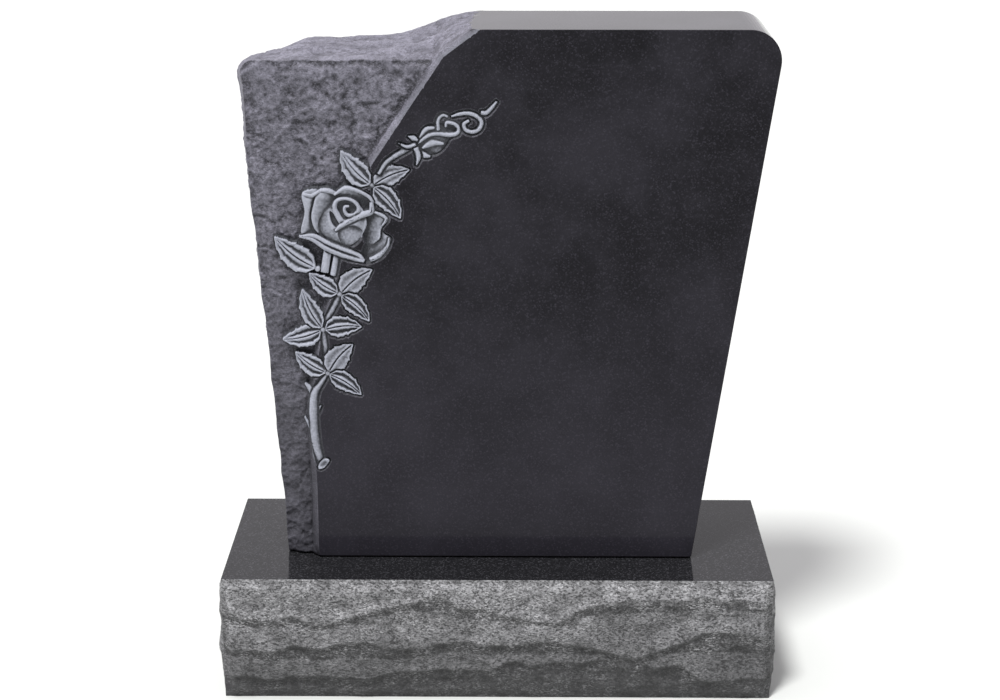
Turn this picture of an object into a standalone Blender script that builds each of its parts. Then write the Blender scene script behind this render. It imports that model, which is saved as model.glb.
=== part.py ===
"""Upright granite memorial: a carved tablet set on a rock-pitched base.

Metres, +Z up, the front faces -Y, and the origin is the centre of the base's underside.
The tablet's front is one sheet: every point of its outline has a depth behind the polished
panel. The rose branch is a stack of carved forms, each an outline in the drawing's own
millimetres, laid one over the other with a cut groove around it.
"""
import math

import bmesh
import bpy
import numpy as np
from mathutils import Vector
from mathutils.geometry import delaunay_2d_cdt

# Base block
BASE_WIDTH = 0.914
BASE_DEPTH = 0.3556
BASE_HEIGHT = 0.214
BASE_FRONT_BULGE = 0.017
BASE_SIDE_BULGE = 0.010
BASE_MARGIN = 0.030
BASE_GRAIN = 0.065
BASE_FACET = 0.026

# Setting bed between base and tablet
BED_THICKNESS = 0.0034
BED_INSET = 0.006
CLEARANCE = 0.0003

# Tablet
TABLET_HEIGHT = 0.892
TABLET_THICKNESS = 0.2032
TABLET_FOOT_WIDTH = 0.684
TABLET_FOOT_OFFSET = -0.014
FRONT_LEDGE = 0.0914
RIGHT_LEAN = 0.1266
LEFT_LEAN = 0.053
BACK_LEFT_LEAN = 0.067
CORNER_RADIUS = 0.050
ARRIS = 0.002

# Rough left part of the tablet
PITCHED_FOOT_WIDTH = 0.054
PITCHED_TOP_WIDTH = 0.383
CREST_DROP = 0.053
KNEE_RUN = 0.059
KNEE_DROP = 0.044
SADDLE_DROP = 0.043
SADDLE_RUN = 0.176
SHOULDER_DROP = 0.042
SHOULDER_RUN = 0.110
SHOULDER_ROUND = 0.022
BEVEL_WIDTH = 0.008
BEVEL_DROP = 0.009
GROUND_DEPTH = 0.017
GROUND_RELIEF = 0.009
GROUND_GRAIN = 0.045
EDGE_ROLL = 0.006
EDGE_ROLL_WIDTH = 0.030
EDGE_WAVE = 0.004
SIDE_BULGE = 0.005
SIDE_RELIEF = 0.005
GROUND_FACET = 0.021
EDGE_FACET = 0.030
LINE_FACET = 0.018
DEPTH_ROWS = 6
PANEL_FACET = 0.12
CREST_WAVE = 0.0015

# Rose branch
BRANCH_HEIGHT = 0.620
BRANCH_DRAWN_HEIGHT = 620.0
BRANCH_FOOT_RISE = 0.157
BRANCH_FOOT_INSET = 0.012
WALL = 0.0017
GROOVE_WIDTH = 0.0048
GROOVE_DEPTH = 0.0060
LEAF_VALLEY = 0.0050
LEAF_VEIN = 0.0028
STEM_ROUND = 0.0035
PETAL_FALL = 0.0085
CUP_FALL = 0.0050
LEAST_GAP = 0.0012
ON_LINE = 0.000002

# Levels and places that follow from the sizes above
BED_BOTTOM = BASE_HEIGHT + CLEARANCE
BED_TOP = BED_BOTTOM + BED_THICKNESS
TABLET_BOTTOM = BED_TOP + CLEARANCE
TABLET_TOP = TABLET_BOTTOM + TABLET_HEIGHT
PANEL_Y = FRONT_LEDGE - BASE_DEPTH / 2
BACK_Y = PANEL_Y + TABLET_THICKNESS
FOOT_LEFT = TABLET_FOOT_OFFSET - TABLET_FOOT_WIDTH / 2
FOOT_RIGHT = FOOT_LEFT + TABLET_FOOT_WIDTH
TOP_LEFT = FOOT_LEFT - LEFT_LEAN
POLISH_START = TOP_LEFT + PITCHED_TOP_WIDTH
PANEL_FOOT = FOOT_LEFT + PITCHED_FOOT_WIDTH
CREST_Z = TABLET_TOP - CREST_DROP
BRANCH_X = PANEL_FOOT + BRANCH_FOOT_INSET
BRANCH_Z = TABLET_BOTTOM + BRANCH_FOOT_RISE
BRANCH_SCALE = BRANCH_HEIGHT / BRANCH_DRAWN_HEIGHT

# Panel edge behind the branch, in the drawing's millimetres from the stem's foot
EDGE_BEHIND_BRANCH = [(-15, 110), (5, 245), (28, 325), (45, 425), (90, 519)]

# Leaf clusters: joint of the stalks, then each leaf's direction in degrees, length, width
CLUSTERS = [
    ((10, 167), [(145, 63, 34), (50, 66, 38), (-34, 66, 32)]),
    ((4, 242), [(194, 68, 36), (115, 75, 33), (5, 64, 36)]),
    ((33, 303), [(144, 60, 33), (38, 68, 38), (-44, 66, 31)]),
    ((-2, 345), [(142, 86, 42)]),
]
TOP_CLUSTER = ((89, 484), [(131, 74, 38), (24, 66, 33), (-50, 70, 35)])
LEAF_STATIONS = [0.03, 0.12, 0.28, 0.44, 0.49, 0.63, 0.69, 0.84, 1.0]
LEAF_WIDTHS = [0.14, 0.62, 0.95, 1.00, 0.87, 0.86, 0.68, 0.47, 0.04]
LEAF_CREASES = [-0.52, -0.20, 0.0, 0.20, 0.52]
LEAF_CURL = 0.06


def smooth(t):
    """Ease from 0 to 1 with a flat start and end."""
    t = np.clip(t, 0.0, 1.0)
    return t * t * (3.0 - 2.0 * t)


def lattice(i, j, seed):
    """A fixed scattered number from -1 to 1 for each whole-number grid point."""
    wave = np.sin(i * 127.1 + j * 311.7 + seed * 74.7) * 4375.85
    return 2.0 * (wave - np.floor(wave)) - 1.0


def rock(a, b, size, seed):
    """Uneven broken surface from -1 to 1: a coarse and a finer lattice, eased together."""
    total = 0.0
    for octave, weight in ((1.0, 0.65), (2.3, 0.35)):
        u = np.asarray(a) / size * octave
        v = np.asarray(b) / size * octave
        i, j = np.floor(u), np.floor(v)
        s, t = smooth(u - i), smooth(v - j)
        low = lattice(i, j, seed) * (1 - s) + lattice(i + 1, j, seed) * s
        high = lattice(i, j + 1, seed) * (1 - s) + lattice(i + 1, j + 1, seed) * s
        total = total + weight * (low * (1 - t) + high * t)
    return total


def curve_through(points, steps, closed=False):
    """Smooth curve through the points, each span cut into equal steps."""
    knots = np.asarray(points, float)
    if closed:
        knots = np.vstack([knots[-1:], knots, knots[:2]])
    else:
        first = 2 * knots[0] - knots[1]
        last = 2 * knots[-1] - knots[-2]
        knots = np.vstack([first, knots, last])
    found = []
    for k in range(1, len(knots) - 2):
        a, b, c, d = knots[k - 1:k + 3]
        for t in np.arange(steps) / steps:
            bend = (2 * a - 5 * b + 4 * c - d) * t + (3 * b - 3 * c + d - a) * t * t
            found.append(b + 0.5 * t * ((c - a) + bend))
    if not closed:
        found.append(knots[-2])
    return np.array(found)


def normals_of(path, closed=False):
    """Unit left-hand normals of a path."""
    if closed:
        run = np.roll(path, -1, axis=0) - np.roll(path, 1, axis=0)
    else:
        run = np.gradient(path, axis=0)
    run = run / np.maximum(np.linalg.norm(run, axis=1, keepdims=True), 1e-9)
    return np.column_stack([-run[:, 1], run[:, 0]])


def signed_distance(points, polygon):
    """Distance from each point to the polygon's edge, positive inside it."""
    a = polygon[None, :, :]
    b = np.roll(polygon, -1, axis=0)[None, :, :]
    p = points[:, None, :]
    ab = b - a
    share = ((p - a) * ab).sum(2) / np.maximum((ab * ab).sum(2), 1e-15)
    near = a + np.clip(share, 0, 1)[..., None] * ab
    gap = np.linalg.norm(p - near, axis=2).min(1)
    spans = (a[..., 1] > p[..., 1]) != (b[..., 1] > p[..., 1])
    rise = np.where(np.abs(ab[..., 1]) < 1e-12, 1e-12, ab[..., 1])
    cross_x = a[..., 0] + (p[..., 1] - a[..., 1]) * ab[..., 0] / rise
    inside = (spans & (p[..., 0] < cross_x)).sum(1) % 2 == 1
    return np.where(inside, gap, -gap)


def drawn(points):
    """Drawing millimetres to the tablet's own x and z in metres."""
    return np.asarray(points, float) * BRANCH_SCALE + np.array([BRANCH_X, BRANCH_Z])


class Form:
    """One carved shape: an outline, crease lines, and a depth of its own."""

    def __init__(self, outline, depth, creases):
        self.outline = outline
        self.depth = depth
        self.creases = creases
        way = np.roll(outline, -1, axis=0)
        turn = (outline[:, 0] * way[:, 1] - way[:, 0] * outline[:, 1]).sum()
        if turn < 0:
            self.outline = outline[::-1]

    def outset(self, distance):
        """The outline moved outward by a distance."""
        return self.outline - normals_of(self.outline, closed=True) * distance


def strip(points, widths, depth, creases=(0.0,), steps=3):
    """A band along a curve: half-widths in drawing millimetres at its knots."""
    path = drawn(curve_through(points, steps)) if steps else drawn(points)
    knots = np.linspace(0.0, 1.0, len(widths))
    along = np.linspace(0.0, 1.0, len(path))
    half = np.interp(along, knots, widths) * BRANCH_SCALE
    side = normals_of(path)
    left = path + side * half[:, None]
    right = path - side * half[:, None]
    lines = [path[1:-1] + side[1:-1] * half[1:-1, None] * share for share in creases]

    def own_depth(where):
        a, b = path[None, :-1, :], path[None, 1:, :]
        run = b - a
        p = where[:, None, :]
        share = np.clip(((p - a) * run).sum(2) / np.maximum((run * run).sum(2), 1e-15), 0, 1)
        off = p - (a + share[..., None] * run)
        gap = np.linalg.norm(off, axis=2)
        pick = gap.argmin(1)
        row = np.arange(len(where))
        u = (pick + share[row, pick]) / (len(path) - 1)
        cross = run[0, pick, 0] * off[row, pick, 1] - run[0, pick, 1] * off[row, pick, 0]
        reach = np.interp(u, along, half)
        s = np.sign(cross) * np.minimum(gap[row, pick] / np.maximum(reach, 1e-6), 1.0)
        return depth(u, s)

    return Form(np.vstack([left, right[::-1]]), own_depth, lines)


def rounded(top, fall=STEM_ROUND):
    """Depth of a rounded band: highest along its middle."""
    return lambda u, s: top + fall * s * s


def rolled(top, fall):
    """Depth of a rolled petal edge: two bands with a hollow between them."""
    return lambda u, s: top + fall * np.sin(math.pi * u) * np.interp(
        np.abs(s), [0.0, 0.35, 1.0], [0.8, 0.0, 0.5])


def leaf_depth(top):
    """Depth across a leaf: vein, ridge, hollow and rim, fading at both ends."""
    def depth(u, s):
        a = np.abs(s)
        hollow = np.interp(a, [0.2, 0.52, 0.85, 1.0], [0.1, 1.0, 0.15, 0.1]) * LEAF_VALLEY
        vein = np.interp(a, [0.0, 0.2], [1.0, 0.0]) * LEAF_VEIN
        fade = smooth(u / 0.15) * smooth((1.0 - u) / 0.22)
        return top + (hollow + vein) * fade
    return depth


def leaf(foot, heading, length, width, top):
    """A pointed leaf with lobed edges, from its stalk's joint outward."""
    turn = math.radians(heading)
    way = np.array([math.cos(turn), math.sin(turn)])
    across = np.array([-way[1], way[0]])
    start = np.asarray(foot, float) + way * 3.0
    points = []
    for station in LEAF_STATIONS:
        bow = LEAF_CURL * length * math.sin(math.pi * station)
        points.append(start + way * station * (length - 3.0) + across * bow)
    half = [share * width / 2 for share in LEAF_WIDTHS]
    return strip(points, half, leaf_depth(top), LEAF_CREASES, steps=0)


def dish(points, depth, creases=(), steps=3):
    """A filled shape inside a smooth closed curve."""
    lines = [drawn(curve_through(line, 3)) for line in creases]
    return Form(drawn(curve_through(points, steps, closed=True)), depth, lines)


def tilted(top, high, low, fall=PETAL_FALL):
    """Depth that falls from a petal's high rim to its low root."""
    high, low = drawn(high), drawn(low)
    run = low - high

    def depth(where):
        share = ((where - high) * run).sum(1) / (run * run).sum()
        return top + fall * smooth(share)
    return depth


def domed(top, centre, radius, fall=CUP_FALL):
    """Depth of a dome: highest at its centre."""
    middle = drawn(centre)
    reach = radius * BRANCH_SCALE

    def depth(where):
        away = np.linalg.norm(where - middle, axis=1) / reach
        return top + fall * np.minimum(away, 1.2) ** 2
    return depth


def stem_forms():
    """The stem with its thorns and cut foot, and the short stalks between clusters."""
    stem = [(-3, 8), (-10, 30), (-14, 62), (-15, 100), (-12, 132), (0, 152), (10, 168)]
    thorns = [
        ([(-30, 89), (-24, 78), (-15, 60)], [0.6, 2.5, 3.5]),
        ([(-2, 111), (-7, 104), (-12, 96)], [0.8, 3.5, 5.0]),
        ([(-28, 148), (-21, 141), (-14, 130)], [0.8, 4.0, 5.5]),
    ]
    forms = [strip(path, half, rounded(0.0025), steps=0) for path, half in thorns]
    forms.append(strip(stem, [6.5, 6.8, 7.0, 7.0, 6.5, 4.5, 3.0], rounded(0.002), steps=2))
    forms.append(dish([(-9, 0), (0, 1), (9, 14), (2, 17), (-7, 9)], domed(0.003, (0, 8), 9, -0.002)))
    stalks = [
        ([(4, 242), (8, 205), (10, 170)], 4.2), ([(33, 300), (18, 272), (5, 246)], 4.5),
        ([(15, 375), (9, 339)], 6.2), ([(30, 368), (23, 334)], 5.0),
    ]
    for path, half in stalks:
        forms.append(strip(path, [half, half], rounded(0.003, 0.002), steps=2))
    return forms


def cluster_forms(joint, leaves, top):
    """The leaves of one cluster and the small boss where they meet."""
    forms = [leaf(joint, heading, length, width, top) for heading, length, width in leaves]
    ring = [(joint[0] + 5 * math.cos(a), joint[1] + 5 * math.sin(a))
            for a in np.linspace(0, 2 * math.pi, 5)[:-1]]
    forms.append(dish(ring, domed(0.001, joint, 6, 0.002), steps=2))
    return forms


def rose_back_forms():
    """The rose's outer petals, which stand behind its cup."""
    left = [(-23, 471), (4, 475), (10, 440), (2, 408), (-26, 404), (-20, 440)]
    low_right = [(84, 398), (101, 408), (108, 404), (118, 393), (90, 360), (70, 362)]
    right = [(70, 440), (98, 441), (111, 430), (102, 412), (99, 396), (80, 388)]
    top = [(28, 468), (46, 481), (68, 477), (84, 468), (92, 456), (86, 440), (50, 432), (22, 440)]
    inner = [(5, 478), (31, 472), (30, 440), (12, 400), (-3, 410), (-9, 430), (-6, 450)]
    return [
        dish(left, tilted(0.001, (-22, 440), (12, 430))),
        dish(low_right, tilted(0.001, (112, 385), (78, 392))),
        dish(right, tilted(0.001, (108, 420), (76, 420))),
        dish(top, tilted(0.001, (62, 481), (58, 448), 0.010)),
        dish(inner, tilted(0.0005, (-4, 450), (28, 440), 0.007)),
    ]


def rose_front_forms():
    """The rose's rolled rims, its cup with the coiled heart, and the long lower lip."""
    rims = [
        ([(-22, 470), (-8, 468), (3, 474)], [1.5, 3.5, 1.5]),
        ([(6, 476), (18, 476), (30, 471)], [1.5, 3.2, 1.8]),
        ([(28, 469), (46, 480), (66, 476), (83, 467), (91, 455)], [1.5, 3.0, 2.6, 2.6, 2.0]),
        ([(92, 441), (104, 436), (111, 429), (100, 410), (98, 396)], [1.5, 2.2, 2.2, 2.4, 1.6]),
        ([(115, 398), (112, 384), (98, 368), (84, 361)], [1.4, 3.0, 4.5, 3.0]),
    ]
    forms = [strip(path, half, rounded(0.0, 0.002), (), steps=2) for path, half in rims]
    cup = [(22, 449), (8, 436), (2, 418), (10, 401), (24, 388), (44, 381), (62, 390),
           (74, 408), (79, 424), (72, 446), (48, 466), (30, 462)]
    forms.append(dish(cup, domed(0.0, (44, 420), 42), [[(14, 428), (22, 408), (40, 398)]]))
    slot = [(21, 441), (30, 431), (36, 421), (30, 416), (23, 426)]
    forms.append(dish(slot, domed(0.0075, (27, 428), 20, -0.001), steps=2))
    hollow = [(49 + 17 * math.cos(a), 445 + 17 * math.sin(a))
              for a in np.linspace(0, 2 * math.pi, 9)[:-1]]
    forms.append(dish(hollow, domed(0.0075, (49, 445), 17, -0.001), steps=2))
    coil = [(51, 450), (45, 449), (44, 443), (48, 436), (58, 435), (66, 442), (66, 450),
            (58, 459), (44, 463), (32, 459), (28, 448), (32, 436), (40, 422)]
    widths = [1.4, 2.0, 2.4, 2.8, 3.2, 3.2, 2.8, 2.4, 2.4, 2.8, 3.4, 4.4, 4.6]
    forms.append(strip(coil, widths, rounded(0.0005, 0.0025), steps=2))
    band = [(88, 456), (87, 442), (74, 436), (55, 427), (40, 419), (29, 410)]
    forms.append(strip(band, [3.0, 4.6, 4.6, 4.6, 4.4, 2.0], rounded(0.0, 0.0025), steps=2))
    petal = [(34, 407), (46, 415), (60, 416), (72, 408), (62, 392), (42, 384)]
    forms.append(dish(petal, domed(0.001, (54, 400), 24, 0.004)))
    lip = [(-30, 400), (-8, 398), (14, 385), (42, 373), (62, 366), (74, 359)]
    forms.append(strip(lip, [1.2, 6.5, 9.0, 9.5, 8.0, 2.0], rolled(0.0, 0.0045), (-0.35, 0, 0.35)))
    return forms


def bud_forms():
    """The rosebud: stalk, sepals, folded petals, and the scrolls above it."""
    stalk = [(100, 503), (112, 522), (130, 535), (152, 547)]
    forms = [strip(stalk, [3.0, 4.0, 4.6, 4.0], rounded(0.002, 0.002), steps=2)]
    bud = [(161, 560), (174, 578), (190, 584), (214, 582), (226, 572), (213, 560), (208, 551),
           (196, 539), (182, 536), (166, 545)]
    forms.append(dish(bud, domed(0.002, (190, 560), 32, 0.005)))
    folds = [
        ([(166, 562), (177, 576), (192, 579)], [1.5, 4.5, 2.0]),
        ([(170, 545), (186, 554), (204, 553)], [1.5, 6.5, 2.0]),
        ([(164, 554), (180, 566), (196, 569), (211, 567), (225, 569), (229, 577), (222, 585),
          (210, 587), (208, 580)], [1.5, 3.4, 3.6, 3.4, 3.4, 3.2, 3.0, 2.8, 1.6]),
        ([(196, 575), (196, 591), (203, 599), (211, 597)], [2.8, 3.2, 3.0, 2.0]),
    ]
    for path, half in folds:
        forms.append(strip(path, half, rounded(0.0005, 0.0025), steps=2))
    sepals = [
        ([(163, 558), (156, 562), (148, 565)], [2.0, 5.0, 1.0]),
        ([(160, 551), (146, 548), (132, 554)], [3.5, 3.0, 1.0]),
        ([(166, 541), (174, 534), (183, 532)], [2.5, 5.0, 1.5]),
        ([(160, 546), (164, 532), (161, 518)], [4.0, 4.5, 1.2]),
    ]
    for path, half in sepals:
        forms.append(strip(path, half, rounded(0.001, 0.002), steps=0))
    scroll = [(217, 597), (231, 601), (246, 602), (259, 596), (265, 586), (260, 576), (249, 572),
              (239, 576), (237, 585), (245, 590)]
    widths = [1.5, 3.4, 3.6, 3.6, 3.6, 3.6, 3.6, 3.4, 3.2, 2.4]
    forms.append(strip(scroll, widths, rounded(0.0005, 0.0025), steps=2))
    tail = [(264, 603), (272, 603), (281, 611), (289, 621)]
    forms.append(strip(tail, [3.2, 4.0, 3.4, 2.0], rounded(0.001, 0.002), steps=2))
    return forms


def branch_forms():
    """Every carved form of the branch, lowest first."""
    forms = stem_forms()
    for joint, leaves in CLUSTERS:
        forms += cluster_forms(joint, leaves, 0.0012)
    forms += rose_back_forms()
    forms += cluster_forms(*TOP_CLUSTER, 0.0010)
    forms += rose_front_forms()
    forms += bud_forms()
    return forms


def back_crest(x):
    """Height of the pitched top along the tablet's back."""
    saddle = SADDLE_DROP * smooth((POLISH_START - x) / SADDLE_RUN)
    over = SHOULDER_RUN + BACK_LEFT_LEAN - LEFT_LEAN
    shoulder = SHOULDER_DROP * smooth((TOP_LEFT + SHOULDER_RUN - x) / over)
    return TABLET_TOP - saddle - shoulder


def split_evenly(a, b, spacing):
    """Points from a to just before b, no further apart than the spacing."""
    a, b = np.asarray(a, float), np.asarray(b, float)
    count = max(1, math.ceil(np.linalg.norm(b - a) / spacing))
    return [a + (b - a) * k / count for k in range(count)]


def panel_edge():
    """The polished panel's left edge from foot to top, extended past both."""
    behind = drawn(EDGE_BEHIND_BRANCH)
    knee = (POLISH_START - KNEE_RUN, TABLET_TOP - KNEE_DROP)
    low = [(PANEL_FOOT, TABLET_BOTTOM), (PANEL_FOOT, (TABLET_BOTTOM + behind[0][1]) / 2)]
    path = curve_through(low + [tuple(point) for point in behind], 5)
    high = split_evenly(path[-1], knee, LINE_FACET)[1:]
    high += split_evenly(knee, (POLISH_START, TABLET_TOP), LINE_FACET)
    return np.vstack([path, high, [(POLISH_START, TABLET_TOP)]])


def edge_foot(edge):
    """Foot of the bevel beside the panel's edge, cut off level with the tablet's top."""
    line = edge + normals_of(edge) * BEVEL_WIDTH
    line[0] = edge[0] - np.array([BEVEL_WIDTH, 0.0])
    run = line[-1] - line[-2]
    line[-1] = line[-2] + run * (TABLET_TOP - line[-2][1]) / run[1]
    return line


def right_corner():
    """Arc of the rounded top right corner, from the side up to the top."""
    lean = math.atan2(RIGHT_LEAN, TABLET_HEIGHT)
    corner_x = FOOT_RIGHT + RIGHT_LEAN
    centre_z = TABLET_TOP - CORNER_RADIUS
    centre_x = corner_x - CORNER_RADIUS * (math.tan(lean) + 1 / math.cos(lean))
    angles = np.linspace(-lean, math.pi / 2, 8)
    return [(centre_x + CORNER_RADIUS * math.cos(a), centre_z + CORNER_RADIUS * math.sin(a))
            for a in angles]


def outlines(edge, foot_line):
    """Front and back outline, anticlockwise, how rough each point is, and the polished run."""
    front, back, rough = [], [], []

    def add(points, behind=None, weight=0.0):
        front.extend(tuple(point) for point in points)
        back.extend(tuple(point) for point in (points if behind is None else behind))
        rough.extend([weight] * len(points))

    add(split_evenly((FOOT_LEFT, TABLET_BOTTOM), foot_line[0], EDGE_FACET))
    add([foot_line[0]])
    add(split_evenly(edge[0], (FOOT_RIGHT, TABLET_BOTTOM), PANEL_FACET))
    start = len(front)
    arc = right_corner()
    add(split_evenly((FOOT_RIGHT, TABLET_BOTTOM), arc[0], 2 * PANEL_FACET))
    add(arc[:-1])
    add(split_evenly(arc[-1], edge[-1], PANEL_FACET) + [edge[-1]])
    polished = np.array(front[start:])

    brow = [point for point in foot_line[::-1] if point[1] > CREST_Z + 0.2 * LINE_FACET]
    add(brow, [(x, back_crest(x)) for x, z in brow], 0.3)
    notch = (np.interp(CREST_Z, foot_line[:, 1], foot_line[:, 0]), CREST_Z)
    crest = split_evenly(notch, (TOP_LEFT + SHOULDER_ROUND, CREST_Z), EDGE_FACET)
    lift = [CREST_WAVE * float(rock(x, 0.0, 0.03, 3)) for x, z in crest]
    add([(x, z + rise) for (x, z), rise in zip(crest, lift)],
        [(x, back_crest(x)) for x, z in crest], 1.0)

    reach = BACK_LEFT_LEAN - LEFT_LEAN
    turns = np.radians([90, 60, 30, 0])
    fall = SHOULDER_ROUND * (1 - np.sin(turns))
    x = TOP_LEFT + SHOULDER_ROUND * (1 - np.cos(turns))
    behind_x = x - reach * np.cos(turns)
    add(np.column_stack([x, CREST_Z - fall]),
        np.column_stack([behind_x, back_crest(behind_x) - fall]), 1.0)

    high, behind_high = CREST_Z - SHOULDER_ROUND, back_crest(TOP_LEFT - reach) - SHOULDER_ROUND
    count = math.ceil((high - TABLET_BOTTOM) / EDGE_FACET)
    share = 1 - np.arange(1, count) / count
    wave = EDGE_WAVE * np.sin(math.pi * share)
    x = FOOT_LEFT - LEFT_LEAN * share + wave * rock(share * 10, 0.0, 1.2, 5)
    behind_x = FOOT_LEFT - BACK_LEFT_LEAN * share + wave * rock(share * 10, 9.0, 1.2, 6)
    add(np.column_stack([x, TABLET_BOTTOM + (high - TABLET_BOTTOM) * share]),
        np.column_stack([behind_x, TABLET_BOTTOM + (behind_high - TABLET_BOTTOM) * share]), 1.0)
    return np.array(front), np.array(back), np.array(rough), polished


def ground_depth(points, edge, outline):
    """Depth of the panel, its bevelled edge and the pitched ground beside it."""
    below = edge[0] - np.array([0.0, 0.1])
    above = edge[-1] + np.array([0.0, 0.1])
    far = FOOT_RIGHT + 1.0
    field = np.vstack([[below], edge, [above], [(far, above[1])], [(far, below[1])]])
    away = -signed_distance(points, field)
    inside = np.maximum(signed_distance(points, outline), 0.0)
    pitched = GROUND_DEPTH + GROUND_RELIEF * rock(points[:, 0], points[:, 1], GROUND_GRAIN, 11)
    pitched = pitched + EDGE_ROLL * smooth(1.0 - inside / EDGE_ROLL_WIDTH)
    bevel = BEVEL_DROP * np.clip(away / BEVEL_WIDTH, 0.0, 1.0)
    past = smooth((away - BEVEL_WIDTH) / (1.5 * BEVEL_WIDTH))
    return bevel + (pitched - BEVEL_DROP) * past


def arris_depth(points, polished):
    """Depth of the small bevel along the polished top and right edges."""
    a, b = polished[None, :-1, :], polished[None, 1:, :]
    run = b - a
    p = points[:, None, :]
    share = np.clip(((p - a) * run).sum(2) / (run * run).sum(2), 0, 1)
    gap = np.linalg.norm(p - (a + share[..., None] * run), axis=2).min(1)
    return np.maximum(ARRIS - gap, 0.0)


def carve(points, depth, forms):
    """Lay the forms over the ground one by one, each with a cut groove around it."""
    for form in forms:
        inside = signed_distance(points, form.outline)
        near = inside > -GROOVE_WIDTH
        if not near.any():
            continue
        gap = -inside[near]
        slope = np.clip((gap - WALL) / (GROOVE_WIDTH - WALL), 0.0, 1.0)
        cut = np.maximum(depth[near], GROOVE_DEPTH * (1.0 - slope))
        own = form.depth(points[near])
        step = smooth(1.0 - gap / WALL)
        depth[near] = cut * (1.0 - step) + own * step
    return depth


def feature_lines(forms, edge, foot_line, polished):
    """Lines that the sheet's triangles follow, most important first."""
    lines = []
    for index in range(len(forms) - 1, -1, -1):
        form = forms[index]
        over = forms[index + 1:]
        lines.append((form.outline, True, over, 0.6 * WALL))
        lines.append((form.outset(WALL), True, over + [form], 0.7 * WALL))
        for crease in form.creases:
            lines.append((crease, False, over, 0.6 * WALL))
    for form in forms:
        others = [other for other in forms if other is not form]
        lines.append((form.outset(GROOVE_WIDTH), True, others, 0.9 * GROOVE_WIDTH))
    lines.append((edge[1:-1], False, forms, GROOVE_WIDTH))
    lines.append((foot_line[1:-1], False, forms, GROOVE_WIDTH))
    inner = polished + normals_of(polished) * ARRIS
    lines.append((inner[1:-1], False, [], 0.0))
    return lines


class PointStore:
    """Points kept at least a small gap apart, found again by grid cell."""

    def __init__(self, gap):
        self.gap = gap
        self.points = []
        self.cells = {}

    def near(self, x, z, gap):
        i, j = int(math.floor(x / self.gap)), int(math.floor(z / self.gap))
        reach = max(1, math.ceil(gap / self.gap))
        for di in range(-reach, reach + 1):
            for dj in range(-reach, reach + 1):
                for k in self.cells.get((i + di, j + dj), ()):
                    if math.hypot(self.points[k][0] - x, self.points[k][1] - z) < gap:
                        return True
        return False

    def add(self, x, z):
        self.cells.setdefault((int(math.floor(x / self.gap)), int(math.floor(z / self.gap))),
                              []).append(len(self.points))
        self.points.append((float(x), float(z)))
        return len(self.points) - 1


def segment_is_clear(a, b, ends, points, starts, stops):
    """True when a new segment crosses no kept segment and passes close to no other point."""
    run = b - a
    length = float(np.hypot(*run))
    off = points - a
    along = (off @ run) / (length * length)
    aside = np.abs(off[:, 0] * run[1] - off[:, 1] * run[0]) / length
    close = (along > 0.0) & (along < 1.0) & (aside < 0.35 * LEAST_GAP)
    close[list(ends)] = False
    if close.any():
        return False
    if len(starts) == 0:
        return True

    def side(p, q, r):
        return (q[..., 0] - p[..., 0]) * (r[..., 1] - p[..., 1]) - (
            q[..., 1] - p[..., 1]) * (r[..., 0] - p[..., 0])

    crossing = (side(a, b, starts) * side(a, b, stops) < 0) & (
        side(starts, stops, a) * side(starts, stops, b) < 0)
    return not crossing.any()


def sheet_points(outline, forms, edge, foot_line, polished):
    """The sheet's points and the segments its triangles must keep."""
    store = PointStore(LEAST_GAP)
    segments = []
    for point in outline:
        store.add(*point)
    count = len(outline)
    segments += [(k, (k + 1) % count) for k in range(count)]
    wanted = []
    for line, closed, over, gap in feature_lines(forms, edge, foot_line, polished):
        keep = signed_distance(line, outline) > 0.8 * LEAST_GAP
        for form in over:
            keep &= signed_distance(line, form.outline) < -gap
        ids = []
        for point, good in zip(line, keep):
            free = good and not store.near(point[0], point[1], LEAST_GAP)
            ids.append(store.add(*point) if free else -1)
        pairs = list(zip(ids, ids[1:])) + ([(ids[-1], ids[0])] if closed else [])
        wanted += [pair for pair in pairs if min(pair) >= 0]
    fill_field(store, outline, forms, foot_line)
    points = np.array(store.points)
    starts, stops = points[:count], np.roll(points[:count], -1, axis=0)
    for a, b in wanted:
        if segment_is_clear(points[a], points[b], (a, b), points, starts, stops):
            segments.append((a, b))
            starts = np.vstack([starts, points[a]])
            stops = np.vstack([stops, points[b]])
    return points, segments


def fill_field(store, outline, forms, foot_line):
    """Free points on the pitched ground, scattered a little, and a few on the panel."""
    low, high = outline.min(0), outline.max(0)
    for spacing, pitched in ((GROUND_FACET, True), (PANEL_FACET, False)):
        columns = np.arange(low[0], high[0], spacing)
        rows = np.arange(low[1], high[1], spacing)
        x, z = [grid.ravel() for grid in np.meshgrid(columns, rows)]
        shift = 0.3 * spacing if pitched else 0.0
        spots = np.column_stack([x + shift * lattice(x * 90, z * 90, 1),
                                 z + shift * lattice(x * 90, z * 90, 2)])
        keep = signed_distance(spots, outline) > 0.4 * GROUND_FACET
        left = np.interp(spots[:, 1], foot_line[:, 1], foot_line[:, 0])
        beside = spots[:, 0] - left
        keep &= (beside < -0.3 * GROUND_FACET) if pitched else (beside > GROUND_FACET)
        for form in forms:
            keep &= signed_distance(spots, form.outline) < -0.3 * GROUND_FACET
        for spot in spots[keep]:
            store.add(*spot)


def triangles_inside(points, segments, outline):
    """Constrained triangles of the points, kept where their middle is inside the outline."""
    coords = [Vector((float(x), float(z))) for x, z in points]
    found = delaunay_2d_cdt(coords, segments, [], 0, 1e-7)
    places = np.array([tuple(vector) for vector in found[0]])
    faces = [tuple(face) for face in found[2]]
    middles = np.array([places[list(face)].mean(0) for face in faces])
    keep = signed_distance(middles, outline) > ON_LINE
    first = {}
    for new, olds in enumerate(found[3]):
        for old in olds:
            first[old] = new
    return places, [face for face, good in zip(faces, keep) if good], first


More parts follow.
